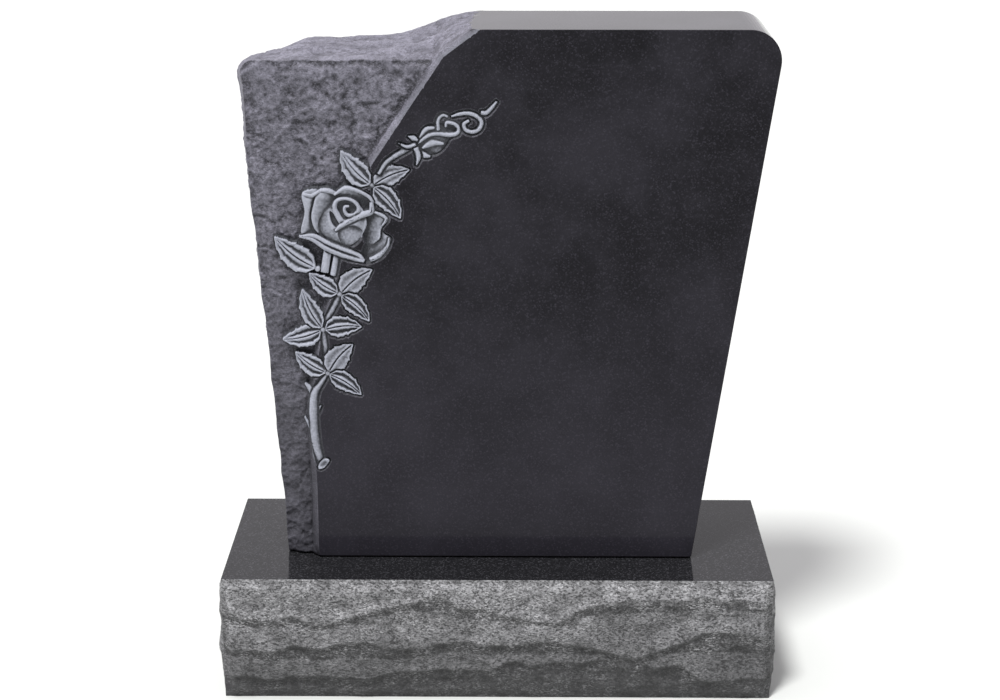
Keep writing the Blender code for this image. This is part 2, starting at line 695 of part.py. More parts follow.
def stone(name, colour, roughness):
    """A plain granite material."""
    material = bpy.data.materials.new(name)
    material.use_nodes = True
    shader = material.node_tree.nodes["Principled BSDF"]
    shader.inputs["Base Color"].default_value = (*colour, 1.0)
    shader.inputs["Roughness"].default_value = roughness
    shader.inputs["Metallic"].default_value = 0.0
    return material


def finish(mesh_data, name, material):
    """Turn a bmesh into a named object whose faces point outward."""
    bmesh.ops.recalc_face_normals(mesh_data, faces=mesh_data.faces)
    mesh = bpy.data.meshes.new(name)
    mesh_data.to_mesh(mesh)
    mesh_data.free()
    mesh.materials.append(material)
    item = bpy.data.objects.new(name, mesh)
    bpy.context.collection.objects.link(item)
    return item


def make_tablet():
    """The carved tablet: its front sheet, its sides row by row, and its flat back."""
    edge = panel_edge()
    foot_line = edge_foot(edge)
    forms = branch_forms()
    front, back, rough, polished = outlines(edge, foot_line)
    points, segments = sheet_points(front, forms, edge, foot_line, polished)
    places, faces, first = triangles_inside(points, segments, front)
    depth = ground_depth(places, edge, front)
    depth = np.maximum(depth, arris_depth(places, polished))
    depth = carve(places, depth, forms)

    body = bmesh.new()
    used = sorted({corner for face in faces for corner in face})
    made = {k: body.verts.new((places[k][0], PANEL_Y + depth[k], places[k][1])) for k in used}
    for face in faces:
        body.faces.new([made[k] for k in face])

    ring = [made[first[k]] for k in range(len(front))]
    outward = -normals_of(front, closed=True)
    start_y = np.array([vert.co.y for vert in ring])
    for row in range(1, DEPTH_ROWS + 1):
        share = row / DEPTH_ROWS
        line = front + (back - front) * share
        swell = SIDE_BULGE * math.sin(math.pi * share)
        across = share * TABLET_THICKNESS
        uneven = SIDE_RELIEF * rock(line[:, 0] + line[:, 1], across, GROUND_GRAIN, 21)
        push = rough * (swell + uneven * (1.0 if row < DEPTH_ROWS else 0.3))
        line = line + outward * push[:, None]
        line[:, 1] = np.maximum(line[:, 1], TABLET_BOTTOM)
        line[:, 1] = np.minimum(line[:, 1], TABLET_TOP)
        y = start_y + (BACK_Y - start_y) * share
        behind = [body.verts.new(place) for place in zip(line[:, 0], y, line[:, 1])]
        for k in range(len(ring)):
            after = (k + 1) % len(ring)
            body.faces.new([ring[k], ring[after], behind[after], behind[k]])
        ring = behind
    bmesh.ops.triangulate(body, faces=[face for face in body.faces if len(face.verts) > 3])
    back_line = np.array([(vert.co.x, vert.co.z) for vert in ring])
    loop = [(k, (k + 1) % len(ring)) for k in range(len(ring))]
    _, cap, where = triangles_inside(back_line, loop, back_line)
    named = {new: old for old, new in where.items()}
    for face in cap:
        body.faces.new([ring[named[k]] for k in face])
    return finish(body, "tablet", stone("tablet_granite", (0.035, 0.035, 0.045), 0.35))


def make_bed():
    """The thin setting bed, set back from the tablet's footprint all round."""
    step_y = PANEL_Y + GROUND_DEPTH + GROUND_RELIEF + EDGE_ROLL + BED_INSET
    left, right = FOOT_LEFT + BED_INSET, FOOT_RIGHT - BED_INSET
    inner = PANEL_FOOT + BED_INSET
    plan = [(left, BACK_Y - BED_INSET), (left, step_y), (inner, step_y),
            (inner, PANEL_Y + BED_INSET), (right, PANEL_Y + BED_INSET), (right, BACK_Y - BED_INSET)]
    body = bmesh.new()
    face = body.faces.new([body.verts.new((x, y, BED_BOTTOM)) for x, y in plan])
    grown = bmesh.ops.extrude_face_region(body, geom=[face])
    verts = [item for item in grown["geom"] if isinstance(item, bmesh.types.BMVert)]
    bmesh.ops.translate(body, verts=verts, vec=(0.0, 0.0, BED_THICKNESS))
    return finish(body, "setting_bed", stone("setting_compound", (0.01, 0.01, 0.012), 0.8))


def pitched_face(body, corner, across, width, outward, bulge, seed):
    """Vertices of one rock-pitched side: flat at its margins and swelling between them."""
    columns = max(4, round(width / BASE_FACET))
    rows = max(4, round(BASE_HEIGHT / BASE_FACET))
    grid = []
    for j in range(rows + 1):
        line = []
        for i in range(columns + 1):
            s, t = i * width / columns, j * BASE_HEIGHT / rows
            inner = 0 < i < columns and 0 < j < rows
            if inner:
                s += 0.25 * BASE_FACET * float(lattice(i, j, seed))
                t += 0.25 * BASE_FACET * float(lattice(i, j, seed + 1))
            rise = min(s, width - s, BASE_MARGIN) / BASE_MARGIN
            rise = min(rise, min(t, BASE_HEIGHT - t, BASE_MARGIN) / BASE_MARGIN)
            out = bulge * float(smooth(rise)) * (0.70 + 0.55 * float(rock(s, t, BASE_GRAIN, seed)))
            place = Vector(corner) + Vector(across) * s + Vector(outward) * (out if inner else 0)
            line.append(body.verts.new((place.x, place.y, t)))
        grid.append(line)
    for j in range(rows):
        for i in range(columns):
            body.faces.new([grid[j][i], grid[j][i + 1], grid[j + 1][i + 1], grid[j + 1][i]])


def make_base():
    """The base block: four pitched sides between a polished top and a sawn underside."""
    body = bmesh.new()
    x, y = BASE_WIDTH / 2, BASE_DEPTH / 2
    sides = [
        ((-x, -y, 0), (1, 0, 0), BASE_WIDTH, (0, -1, 0), BASE_FRONT_BULGE, 31),
        ((x, -y, 0), (0, 1, 0), BASE_DEPTH, (1, 0, 0), BASE_SIDE_BULGE, 41),
        ((x, y, 0), (-1, 0, 0), BASE_WIDTH, (0, 1, 0), BASE_FRONT_BULGE, 51),
        ((-x, y, 0), (0, -1, 0), BASE_DEPTH, (-1, 0, 0), BASE_SIDE_BULGE, 61),
    ]
    for corner, across, width, outward, bulge, seed in sides:
        pitched_face(body, corner, across, width, outward, bulge, seed)
    bmesh.ops.remove_doubles(body, verts=body.verts, dist=0.0001)
    rims = [edge for edge in body.edges if edge.is_boundary]
    bmesh.ops.holes_fill(body, edges=rims)
    bmesh.ops.triangulate(body, faces=body.faces)
    return finish(body, "base", stone("base_granite", (0.10, 0.10, 0.105), 0.6))


def clear_scene():
    """Remove whatever the scene holds."""
    for item in list(bpy.data.objects):
        bpy.data.objects.remove(item, do_unlink=True)


clear_scene()
make_base()
make_bed()
make_tablet()
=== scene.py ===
"""Granite memorial, finished: carved tablet, pitched base, setting bed and a plain stage.

Metres, +Z up, the front faces -Y, in the frame's own place and size. Every new piece is a
surface worked out on a grid with numpy. The tablet's front is a sheet of depths behind the
polished panel: the pitched ground, then the carved forms of the rose branch laid over it
one by one, each with a cut groove around it.
"""
import math

import bpy
import numpy as np
from bpy.props import FloatProperty, FloatVectorProperty, IntProperty, PointerProperty
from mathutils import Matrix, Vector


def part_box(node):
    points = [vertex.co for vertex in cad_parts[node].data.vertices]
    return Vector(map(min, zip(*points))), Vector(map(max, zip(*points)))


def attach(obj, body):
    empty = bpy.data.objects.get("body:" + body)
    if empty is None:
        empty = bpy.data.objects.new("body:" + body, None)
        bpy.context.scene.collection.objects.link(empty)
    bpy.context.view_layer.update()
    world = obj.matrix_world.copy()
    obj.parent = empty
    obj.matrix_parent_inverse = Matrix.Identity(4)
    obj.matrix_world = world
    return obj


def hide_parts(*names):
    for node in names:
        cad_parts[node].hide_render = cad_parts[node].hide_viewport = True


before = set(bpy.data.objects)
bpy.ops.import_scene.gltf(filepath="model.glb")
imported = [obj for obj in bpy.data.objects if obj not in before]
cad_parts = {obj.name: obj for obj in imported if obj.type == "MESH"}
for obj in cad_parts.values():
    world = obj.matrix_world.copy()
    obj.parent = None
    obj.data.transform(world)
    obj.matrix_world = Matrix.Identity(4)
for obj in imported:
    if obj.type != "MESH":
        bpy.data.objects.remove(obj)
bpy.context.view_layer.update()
TABLET_LOW, TABLET_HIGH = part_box("tablet")
BASE_LOW, BASE_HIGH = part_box("base")

bl_info = {
    "name": "Granite Memorial",
    "version": (1, 0, 0),
    "blender": (4, 5, 0),
    "location": "3D View > Sidebar > Memorial",
    "description": "Finished stone for an upright memorial with a carved rose branch",
    "category": "Add Mesh",
}

PANEL_Y = TABLET_LOW[1]
BACK_Y = TABLET_HIGH[1]
FOOT_Z = TABLET_LOW[2]
TOP_Z = TABLET_HIGH[2]
THICKNESS = BACK_Y - PANEL_Y

# Panel edge behind the branch, in the drawing's millimetres from the stem's foot
EDGE_BEHIND_BRANCH = [(-15, 110), (5, 245), (28, 325), (45, 425), (90, 519)]
DRAWN_HEIGHT = 620.0

# Leaf clusters: joint of the stalks, then each leaf's direction in degrees, length, width
# and share of the full hollows
CLUSTERS = [
    ((10, 167), [(145, 63, 34, 1.0), (50, 66, 38, 0.2), (-34, 66, 32, 1.0)]),
    ((4, 242), [(194, 68, 36, 1.0), (115, 75, 33, 0.8), (5, 64, 36, 1.0)]),
    ((33, 303), [(144, 60, 33, 1.0), (38, 68, 38, 0.2), (-44, 66, 31, 1.0)]),
    ((-2, 345), [(142, 86, 42, 1.0)]),
]
TOP_CLUSTER = ((89, 484), [(131, 74, 38, 1.0), (24, 66, 33, 0.3), (-50, 70, 35, 1.0)])
LEAF_STATIONS = [0.0, 0.03, 0.12, 0.28, 0.44, 0.49, 0.63, 0.69, 0.84, 1.0]
LEAF_WIDTHS = [0.02, 0.14, 0.62, 0.95, 1.00, 0.87, 0.86, 0.68, 0.47, 0.04]

# Across half a leaf, from its vein out: share of its hollow's depth
LEAF_SECTION = ([0.0, 0.2, 0.34, 0.5, 0.66, 0.82, 1.0], [0.0, 0.05, 0.55, 1.0, 0.6, 0.08, 0.12])
# Across half a rolled petal edge, from its middle out: share of its hollow's depth
ROLL_SECTION = ([0.0, 0.12, 0.38, 0.7, 1.0], [1.0, 0.7, 0.0, 0.15, 0.7])

# Rows of the tablet's front sheet: closest between two heights above the foot
FINE_FROM, FINE_TO = 0.150, 0.790
ROW_STEP, FINE_ROW_STEP = 0.0019, 0.00108
# Its columns over the carving and beyond it, and how far right of the panel's edge the
# carving reaches at two shares of the height: the bud and tail go further than the leaves
FINE_COLUMNS, WIDE_COLUMNS = 340, 6
REACH_SHARES, REACHES = [0.72, 0.80], [0.100, 0.150]
SIDE_ROWS, ARC_STEPS, QUARTER_TURN = 46, 15, [0, 30, 60, 90]
# Uneven lines of the left edge and the crest: height, length and seed of each ripple
EDGE_RIPPLES = [(0.0030, 1.2, 5), (0.0016, 0.42, 7)]
CREST_RIPPLES = [(0.0012, 0.025, 3), (0.0009, 0.009, 4)]
# Width over which the ground falls at its outer edge and below the crest, over which pitched
# stone takes over from polished along the top, and over which the bevel's painted light fades in
ROLL_WIDTH, BROW_WIDTH, PITCHED_FADE, LIT_BEVEL_FADE = 0.030, 0.012, 0.030, 0.03
# Share of the side's bulge and relief at shares of the way back
SIDE_EASE = ([0.0, 0.3, 0.9, 1.0], [0.0, 0.9, 0.9, 0.3])
# Tool marks on carved stone: height, size and seed
TOOL_MARKS = (0.0003, 0.0025, 90)

# Painted light and shade: reach in cells and share of fine and broad crests (paler on crests,
# darker in hollows), painted shade in the trench left of the panel, beside the carving and at
# the carving's own lip, and painted light where the sides face up
PAINTED_SHADE_CELLS, PAINTED_SHADE_SHARES = (5, 16), (1.0, 0.7)
TRENCH_PAINTED_SHADOW, BESIDE_PAINTED_SHADE, LIP_PAINTED_SHADE_CAP, FACING_UP_PAINTED_LIGHT = 0.5, 0.45, 0.05, 0.45

# Profile of a pitched side: way down from the arris (0) past a brow (1) to the foot (2),
# and how far it stands out. Each brow: its share of the height and how far it stands out.
BROW_PROFILE = ([0.0, 0.2, 0.7, 0.92, 1.0, 1.08, 1.4, 1.7, 2.0],
                [0.1, 0.42, 0.55, 0.90, 1.0, 0.66, 0.30, 0.22, 0.0])
BROWS = [(0.50, 1.0), (0.26, 0.72), (0.74, 0.80)]
SWELL_SHARE, ROUGH_SHARE = 0.72, 0.85
# Painted light and shade: reach in cells, full height and share of each size of crest (paler
# on crests, darker in hollows), how strongly and how far its slope counts (paler where it
# faces up, darker where it faces down), and the painted highlight along its arris with its width
SIDE_PAINTED_SHADE = [(4, 0.002, 0.8), (14, 0.005, 0.9)]
PAINTED_FACING_LIGHT, PAINTED_FACING_LOW, PAINTED_FACING_HIGH = 5.5, -0.5, 0.45
ARRIS_PAINTED_HIGHLIGHT, ARRIS_WIDTH = 0.35, 0.002

# How close to the panel or the top a thinned face must lie to be put back in its plane
ON_PLANE = 0.0008
# Larger than any nearest distance that is looked for, and smaller than a squared length
FAR, TINY = 9.0, 1e-15

# Sizes of the stone's clouds and patches, and of its crystals, grit and painted glints
CLOUDS, PATCHES, MOTTLES = 0.16, 0.030, 0.045
FLECKS, SPECKLES, GRIT, PAINTED_GLINTS, ROUGH_GRIT = 0.0021, 0.0018, 0.0036, 0.0030, 0.0045

# Key light's turn and width in degrees, and the bright side of the surrounding light
KEY_TURN, KEY_WIDTH = (26, 0, -32), 12
BRIGHT_SIDE, BRIGHT_RANGE, DIMMEST = (-0.60, 0.75, 0.60), (-0.3, 0.9), 0.25
SKY_COLOUR = (0.985, 0.960, 1.0, 1.0)
FLOOR_REACH, FLOOR_TINT = 40.0, (1.0, 1.02, 0.985)


def number(name, default, description, unit="LENGTH"):
    """A setting that is one number, a length in metres unless it says otherwise."""
    return FloatProperty(name=name, description=description, default=default, unit=unit)


def tint(name, default, description):
    """A setting that is a colour."""
    return FloatVectorProperty(
        name=name, description=description, default=default, subtype="COLOR")


TRIANGLES = IntProperty(
    name="Triangles", description="Triangles left after thinning", default=190000)


class TabletSizes(bpy.types.PropertyGroup):
    """Sizes of the tablet's block."""

    foot_left: number("Foot left", -0.356, "Left end of the tablet's foot")
    foot_right: number("Foot right", 0.328, "Right end of the tablet's foot")
    right_lean: number("Right lean", 0.1266, "How far the right side leans out")
    left_lean: number("Left lean", 0.053, "How far the left edge leans out")
    back_lean: number("Back lean", 0.067, "How far the left edge leans out at the back")
    corner: number("Corner radius", 0.050, "Radius of the top right corner")
    arris: number("Arris", 0.002, "Radius of the polished edges")
    faces: TRIANGLES


class PitchedSizes(bpy.types.PropertyGroup):
    """Sizes of the rock-pitched left part."""

    foot_width: number("Foot width", 0.054, "Width of the pitched strip at the foot")
    top_width: number("Top width", 0.383, "Width of the pitched part at the top")
    crest_drop: number("Crest drop", 0.053, "Pitched crest below the polished top")
    knee_run: number("Knee run", 0.059, "Panel edge's knee left of the polished top")
    knee_drop: number("Knee drop", 0.044, "Panel edge's knee below the top")
    saddle_drop: number("Saddle drop", 0.043, "Back crest below the polished top")
    saddle_run: number("Saddle run", 0.176, "Width over which the back crest falls")
    shoulder_drop: number("Shoulder drop", 0.042, "Further fall at the back left shoulder")
    shoulder_run: number("Shoulder run", 0.110, "Width of the back left shoulder")
    shoulder_round: number("Shoulder round", 0.022, "Radius of the top left corner")
    bevel_width: number("Bevel width", 0.008, "Width of the bevel beside the panel")
    bevel_drop: number("Bevel drop", 0.009, "Depth of the bevel beside the panel")
    ground: number("Ground", 0.017, "Depth of the pitched ground")
    relief: number("Relief", 0.006, "Height of the ground's broken surface")
    edge_roll: number("Edge roll", 0.006, "How far the ground falls at its outer edge")
    bulge: number("Side bulge", 0.005, "How far the pitched side swells")
    # Painted light and shade: height above its neighbours at which stone is painted palest
    painted_crest_height: number("Crest height", 0.0018, "Height at which a crest is palest")


class BranchSizes(bpy.types.PropertyGroup):
    """Sizes of the carved rose branch."""

    height: number("Height", 0.620, "Height from the stem's foot to the tail's tip")
    rise: number("Rise", 0.157, "Stem's foot above the tablet's foot")
    inset: number("Inset", 0.012, "Stem's foot right of the panel's edge")
    wall: number("Wall", 0.0013, "Width of a form's steep side")
    groove_width: number("Groove width", 0.0046, "Reach of the groove around a form")
    # Reach of the painted shade on the stone beside a form
    painted_shade_width: number("Shade width", 0.009, "Reach of the dark stone beside a form")
    groove_depth: number("Groove depth", 0.0062, "Depth of the groove around a form")
    leaf_hollow: number("Leaf hollow", 0.0050, "Depth of the hollows beside a leaf's ridge")
    leaf_vein: number("Leaf vein", 0.0034, "Depth of a leaf's middle vein")


class BaseSizes(bpy.types.PropertyGroup):
    """Sizes of the base block's pitched sides."""

    width: number("Width", 0.914, "Width between the arrises")
    depth: number("Depth", 0.3556, "Depth between the arrises")
    margin: number("Margin", 0.016, "Width over which a side rises from its arris")
    spacing: number("Spacing", 0.0019, "Grid spacing of the pitched sides")
    faces: TRIANGLES


class StoneColours(bpy.types.PropertyGroup):
    """Colours of the stone's finishes."""

    polished: tint("Polished", (0.0132, 0.0125, 0.0160), "Tablet where polished")
    pitched: tint("Pitched", (0.125, 0.122, 0.148), "Tablet where pitched")
    carved: tint("Carved", (0.235, 0.245, 0.285), "Tablet where carved")
    base_top: tint("Base top", (0.009, 0.009, 0.010), "Base where polished")
    base_sides: tint("Base sides", (0.172, 0.172, 0.177), "Base where pitched")
    bed: tint("Bed", (0.008, 0.008, 0.009), "Setting bed")


class StageSettings(bpy.types.PropertyGroup):
    """Camera, light and floor."""

    eye: FloatVectorProperty(
        name="Eye", description="Camera's place", subtype="XYZ", unit="LENGTH",
        default=(0.0316, -3.2771, 1.6118))
    pitch: number("Pitch", 0.3057, "How far the camera looks down", unit="ROTATION")
    yaw: number("Yaw", 0.0086, "How far the camera turns left", unit="ROTATION")
    lens: number("Lens", 73.58, "Focal length in millimetres", unit="NONE")
    shift: number("Shift", -0.012, "Upright shift of the view", unit="NONE")
    key: number("Key", 3.2, "Strength of the key light", unit="NONE")
    fill: number("Fill", 1.05, "Strength of the surrounding light", unit="NONE")
    floor: number("Floor", 0.70, "How pale the floor is", unit="NONE")


def smooth(t):
    """Ease from 0 to 1: three t squared less two t cubed."""
    t = np.clip(t, 0.0, 1.0)
    return t * t * (3.0 - 2.0 * t)


def lattice(i, j, seed):
    """A fixed scattered number from -1 to 1 for each whole-number grid point."""
    wave = np.sin(i * 127.1 + j * 311.7 + seed * 74.7) * 4375.85
    return 2.0 * (wave - np.floor(wave)) - 1.0


def grain(a, b, size, seed):
    """Smooth noise: the four lattice numbers around a point, eased together."""
    u, v = np.asarray(a) / size, np.asarray(b) / size
    i, j = np.floor(u), np.floor(v)
    s, t = smooth(u - i), smooth(v - j)
    low = lattice(i, j, seed) * (1 - s) + lattice(i + 1, j, seed) * s
    high = lattice(i, j + 1, seed) * (1 - s) + lattice(i + 1, j + 1, seed) * s
    return low * (1 - t) + high * t


def ripples(x, waves):
    """An uneven line: the sum of noises, each with its height, length and seed."""
    return sum(height * grain(x, 0 * x, size, seed) for height, size, seed in waves)


def scallops(a, b, size, seed, scatter=0.42, offset=0.35):
    """Broken stone from 0 to 1: for scattered centres, the least squared distance plus an
    offset, which leaves bowls that meet in sharp ridges."""
    u, v = np.asarray(a) / size, np.asarray(b) / size
    i, j = np.floor(u), np.floor(v)
    least = np.full(np.shape(u), FAR)
    for di in (-1, 0, 1):
        for dj in (-1, 0, 1):
            x = i + di + 0.5 + scatter * lattice(i + di, j + dj, seed)
            y = j + dj + 0.5 + scatter * lattice(i + di, j + dj, seed + 1)
            rise = offset * lattice(i + di, j + dj, seed + 2)
            least = np.minimum(least, (u - x) ** 2 + (v - y) ** 2 + rise)
    return np.clip((least + offset) / 1.1, 0.0, 1.0)


def curve_through(points, steps, closed=False):
    """Smooth curve through the points, each span cut into equal steps."""
    knots = np.asarray(points, float)
    if closed:
        knots = np.vstack([knots[-1:], knots, knots[:2]])
    else:
        knots = np.vstack([2 * knots[0] - knots[1], knots, 2 * knots[-1] - knots[-2]])
    t = (np.arange(steps) / steps)[:, None]
    found = []
    for k in range(1, len(knots) - 2):
        a, b, c, d = knots[k - 1:k + 3]
        bend = (2 * a - 5 * b + 4 * c - d) * t + (3 * b - 3 * c + d - a) * t * t
        found.append(b + 0.5 * t * ((c - a) + bend))
    if not closed:
        found.append(knots[-2:-1])
    return np.vstack(found)


def normals_of(path, closed=False):
    """Unit left-hand normals of a path."""
    if closed:
        run = np.roll(path, -1, axis=0) - np.roll(path, 1, axis=0)
    else:
        run = np.gradient(path, axis=0)
    run = run / np.maximum(np.linalg.norm(run, axis=1, keepdims=True), 1e-9)
    return np.column_stack([-run[:, 1], run[:, 0]])


def off_segment(px, py, ax, ay, rx, ry):
    """How far along a segment each point's nearest spot lies, and the distance to it."""
    share = np.clip(((px - ax) * rx + (py - ay) * ry) / max(rx * rx + ry * ry, TINY), 0, 1)
    return share, np.hypot(px - ax - share * rx, py - ay - share * ry)


def signed_distance(points, polygon):
    """Distance from each point to the polygon's edge, positive inside it."""
    least = np.full(len(points), FAR)
    inside = np.zeros(len(points), bool)
    px, py = points[:, 0], points[:, 1]
    for (ax, ay), (bx, by) in zip(polygon, np.roll(polygon, -1, axis=0)):
        rx, ry = bx - ax, by - ay
        least = np.minimum(least, off_segment(px, py, ax, ay, rx, ry)[1])
        if abs(ry) > 1e-12:
            spans = (ay > py) != (by > py)
            inside ^= spans & (px < ax + (py - ay) * rx / ry)
    return np.where(inside, least, -least)


def along_path(points, path):
    """Share of the way along a path and signed distance from it, at each nearest spot."""
    best = np.full(len(points), FAR)
    way = np.zeros(len(points))
    side = np.ones(len(points))
    px, py = points[:, 0], points[:, 1]
    for k, ((ax, ay), (bx, by)) in enumerate(zip(path[:-1], path[1:])):
        rx, ry = bx - ax, by - ay
        share, gap = off_segment(px, py, ax, ay, rx, ry)
        near = gap < best
        best = np.where(near, gap, best)
        way = np.where(near, (k + share) / (len(path) - 1), way)
        side = np.where(near, np.sign(rx * (py - ay) - ry * (px - ax)), side)
    return way, best * side


def band(path, half):
    """Outline of a band along a path, with its half-width at each point."""
    side = normals_of(path) * half[:, None]
    return np.vstack([path + side, (path - side)[::-1]])


class Form:
    """One carved shape: an outline, a depth of its own and a share of the full groove."""

    def __init__(self, outline, depth, cut):
        self.outline = outline
        self.depth = depth
        self.cut = cut


class Branch:
    """Every carved form of the rose branch, in drawing millimetres, lowest first."""

    def __init__(self, sizes, foot_x, foot_z):
        self.sizes = sizes
        self.scale = sizes.height / DRAWN_HEIGHT
        self.foot = np.array([foot_x, foot_z])
        self.forms = []
        self.cut = 1.0

    def place(self, points):
        """Drawing millimetres to the tablet's own x and z."""
        return np.asarray(points, float) * self.scale + self.foot

    def strip(self, points, widths, depth, steps=6):
        """A band along a curve, with half-widths at evenly spaced knots."""
        path = self.place(curve_through(points, steps))
        along = np.linspace(0.0, 1.0, len(path))
        half = np.interp(along, np.linspace(0.0, 1.0, len(widths)), widths) * self.scale

        def own_depth(where):
            way, gap = along_path(where, path)
            reach = np.maximum(np.interp(way, along, half), 1e-6)
            return depth(way, np.clip(gap / reach, -1.0, 1.0))

        self.forms.append(Form(band(path, half), own_depth, self.cut))

    def strips(self, bands, depth):
        """Bands that share one profile, each a curve and its half-widths."""
        for points, widths in bands:
            self.strip(points, widths, depth)

    def dish(self, points, depth, steps=6):
        """A filled shape inside a smooth closed curve."""
        outline = self.place(curve_through(points, steps, closed=True))
        self.forms.append(Form(outline, depth, self.cut))

    def leaf(self, joint, heading, length, width, hollows, top):
        """A pointed leaf: toothed edges, a vein, ridges beside it and hollows beyond them."""
        turn = math.radians(heading)
        way = np.array([math.cos(turn), math.sin(turn)])
        across = np.array([-way[1], way[0]])
        stalk, bend, tooth = 3.0, 0.06, 0.13
        start = np.asarray(joint, float) + way * stalk
        share = np.linspace(0.0, 1.0, 49)
        bow = bend * length * np.sin(math.pi * share)
        path = self.place(start + share[:, None] * way * (length - stalk) + bow[:, None] * across)
        half = np.interp(share, LEAF_STATIONS, LEAF_WIDTHS) * width / 2 * self.scale
        teeth = tooth * (0.5 - (6 * share + 0.3) % 1.0) * smooth(share / 0.2)
        half = half * (1.0 + teeth)
        hollow, vein = self.sizes.leaf_hollow * hollows, self.sizes.leaf_vein
        vein_reach = 0.0008 + 0.03 * width * self.scale

        def own_depth(where):
            u, gap = along_path(where, path)
            a = np.clip(np.abs(gap) / np.maximum(np.interp(u, share, half), 1e-6), 0.0, 1.0)
            dip = np.interp(a, *LEAF_SECTION)
            cut = smooth(1.0 - np.abs(gap) / vein_reach)
            fade = smooth(u / 0.16) * smooth((1.0 - u) / 0.24)
            return top + hollow * dip * fade + vein * cut * smooth(u / 0.1) * smooth((1 - u) / 0.1)

        self.forms.append(Form(band(path, half), own_depth, self.cut))


def rounded(top, fall=0.0035):
    """Depth of a rounded band: highest along its middle, by the square of the way across."""
    return lambda u, s: top + fall * s * s


def rolled(top, fall):
    """Depth of a rolled petal edge: two bands with a hollow between them."""
    return lambda u, s: top + fall * np.sin(math.pi * u) * np.interp(np.abs(s), *ROLL_SECTION)


def tilted(branch, top, high, low, fall):
    """Depth that falls from a petal's high rim to its low root."""
    high, low = branch.place(high), branch.place(low)
    run = low - high
    return lambda where: top + fall * smooth(((where - high) * run).sum(1) / (run * run).sum())


def domed(branch, top, centre, radius, fall=0.005):
    """Depth of a dome: highest at its centre, by the square of the way out."""
    middle, reach = branch.place(centre), radius * branch.scale

    def depth(where):
        away = np.hypot(where[:, 0] - middle[0], where[:, 1] - middle[1]) / reach
        return top + fall * np.minimum(away, 1.2) ** 2
    return depth


def carve_stem(branch):
    """The stem with its thorns and cut foot, and the short stalks between clusters."""
    thorns = [
        ([(-30, 89), (-24, 78), (-15, 60)], [0.6, 2.5, 3.5]),
        ([(-2, 111), (-7, 104), (-12, 96)], [0.8, 3.5, 5.0]),
        ([(-28, 148), (-21, 141), (-14, 130)], [0.8, 4.0, 5.5]),
    ]
    branch.strips(thorns, rounded(top=0.0025))
    stem = [(-3, 8), (-10, 30), (-14, 62), (-15, 100), (-12, 132), (0, 152), (10, 168)]
    branch.strip(stem, [6.5, 6.8, 7.0, 7.0, 6.5, 4.5, 3.0], rounded(top=0.002))
    foot = [(-9, 0), (0, 1), (9, 14), (2, 17), (-7, 9)]
    branch.dish(foot, domed(branch, 0.003, (0, 8), 9, fall=-0.002))
    stalks = [
        ([(4, 242), (8, 205), (10, 170)], [4.2, 4.2]),
        ([(33, 300), (18, 272), (5, 246)], [4.5, 4.5]),
        ([(15, 375), (9, 339)], [6.2, 6.2]),
        ([(30, 368), (23, 334)], [5.0, 5.0]),
    ]
    branch.strips(stalks, rounded(top=0.003, fall=0.002))


def ring_around(x, z, radius, count):
    """Points evenly spaced around a circle of the drawing."""
    turn = np.linspace(0, 2 * math.pi, count + 1)[:-1]
    return np.column_stack([x + radius * np.cos(turn), z + radius * np.sin(turn)])


def carve_cluster(branch, joint, leaves, top):
    """The leaves of one cluster and the small boss where they meet."""
    for leaf in leaves:
        branch.leaf(joint, *leaf, top)
    branch.cut = 0.3
    branch.dish(ring_around(*joint, 4, 6), domed(branch, 0.0022, joint, 6, fall=0.002))
    branch.cut = 1.0


def carve_rose_back(branch):
    """The rose's outer petals, which stand behind its cup."""
    left = [(-23, 471), (4, 475), (10, 440), (2, 408), (-26, 404), (-20, 440)]
    low_right = [(84, 398), (101, 408), (108, 404), (118, 393), (90, 360), (70, 362)]
    right = [(70, 440), (98, 441), (111, 430), (102, 412), (99, 396), (80, 388)]
    top = [(28, 468), (46, 481), (68, 477), (84, 468), (92, 456), (86, 440), (50, 432), (22, 440)]
    inner = [(5, 478), (31, 472), (30, 440), (12, 400), (-3, 410), (-9, 430), (-6, 450)]
    # Outline, depth at its rim, the places of its rim and root, and its fall between them
    petals = [
        (left, 0.001, (-22, 440), (12, 430), 0.0085),
        (low_right, 0.001, (112, 385), (78, 392), 0.0085),
        (right, 0.001, (108, 420), (76, 420), 0.0085),
        (top, 0.001, (62, 481), (58, 448), 0.010),
        (inner, 0.0005, (-4, 450), (28, 440), 0.007),
    ]
    for outline, rim, high, low, fall in petals:
        branch.dish(outline, tilted(branch, rim, high, low, fall))


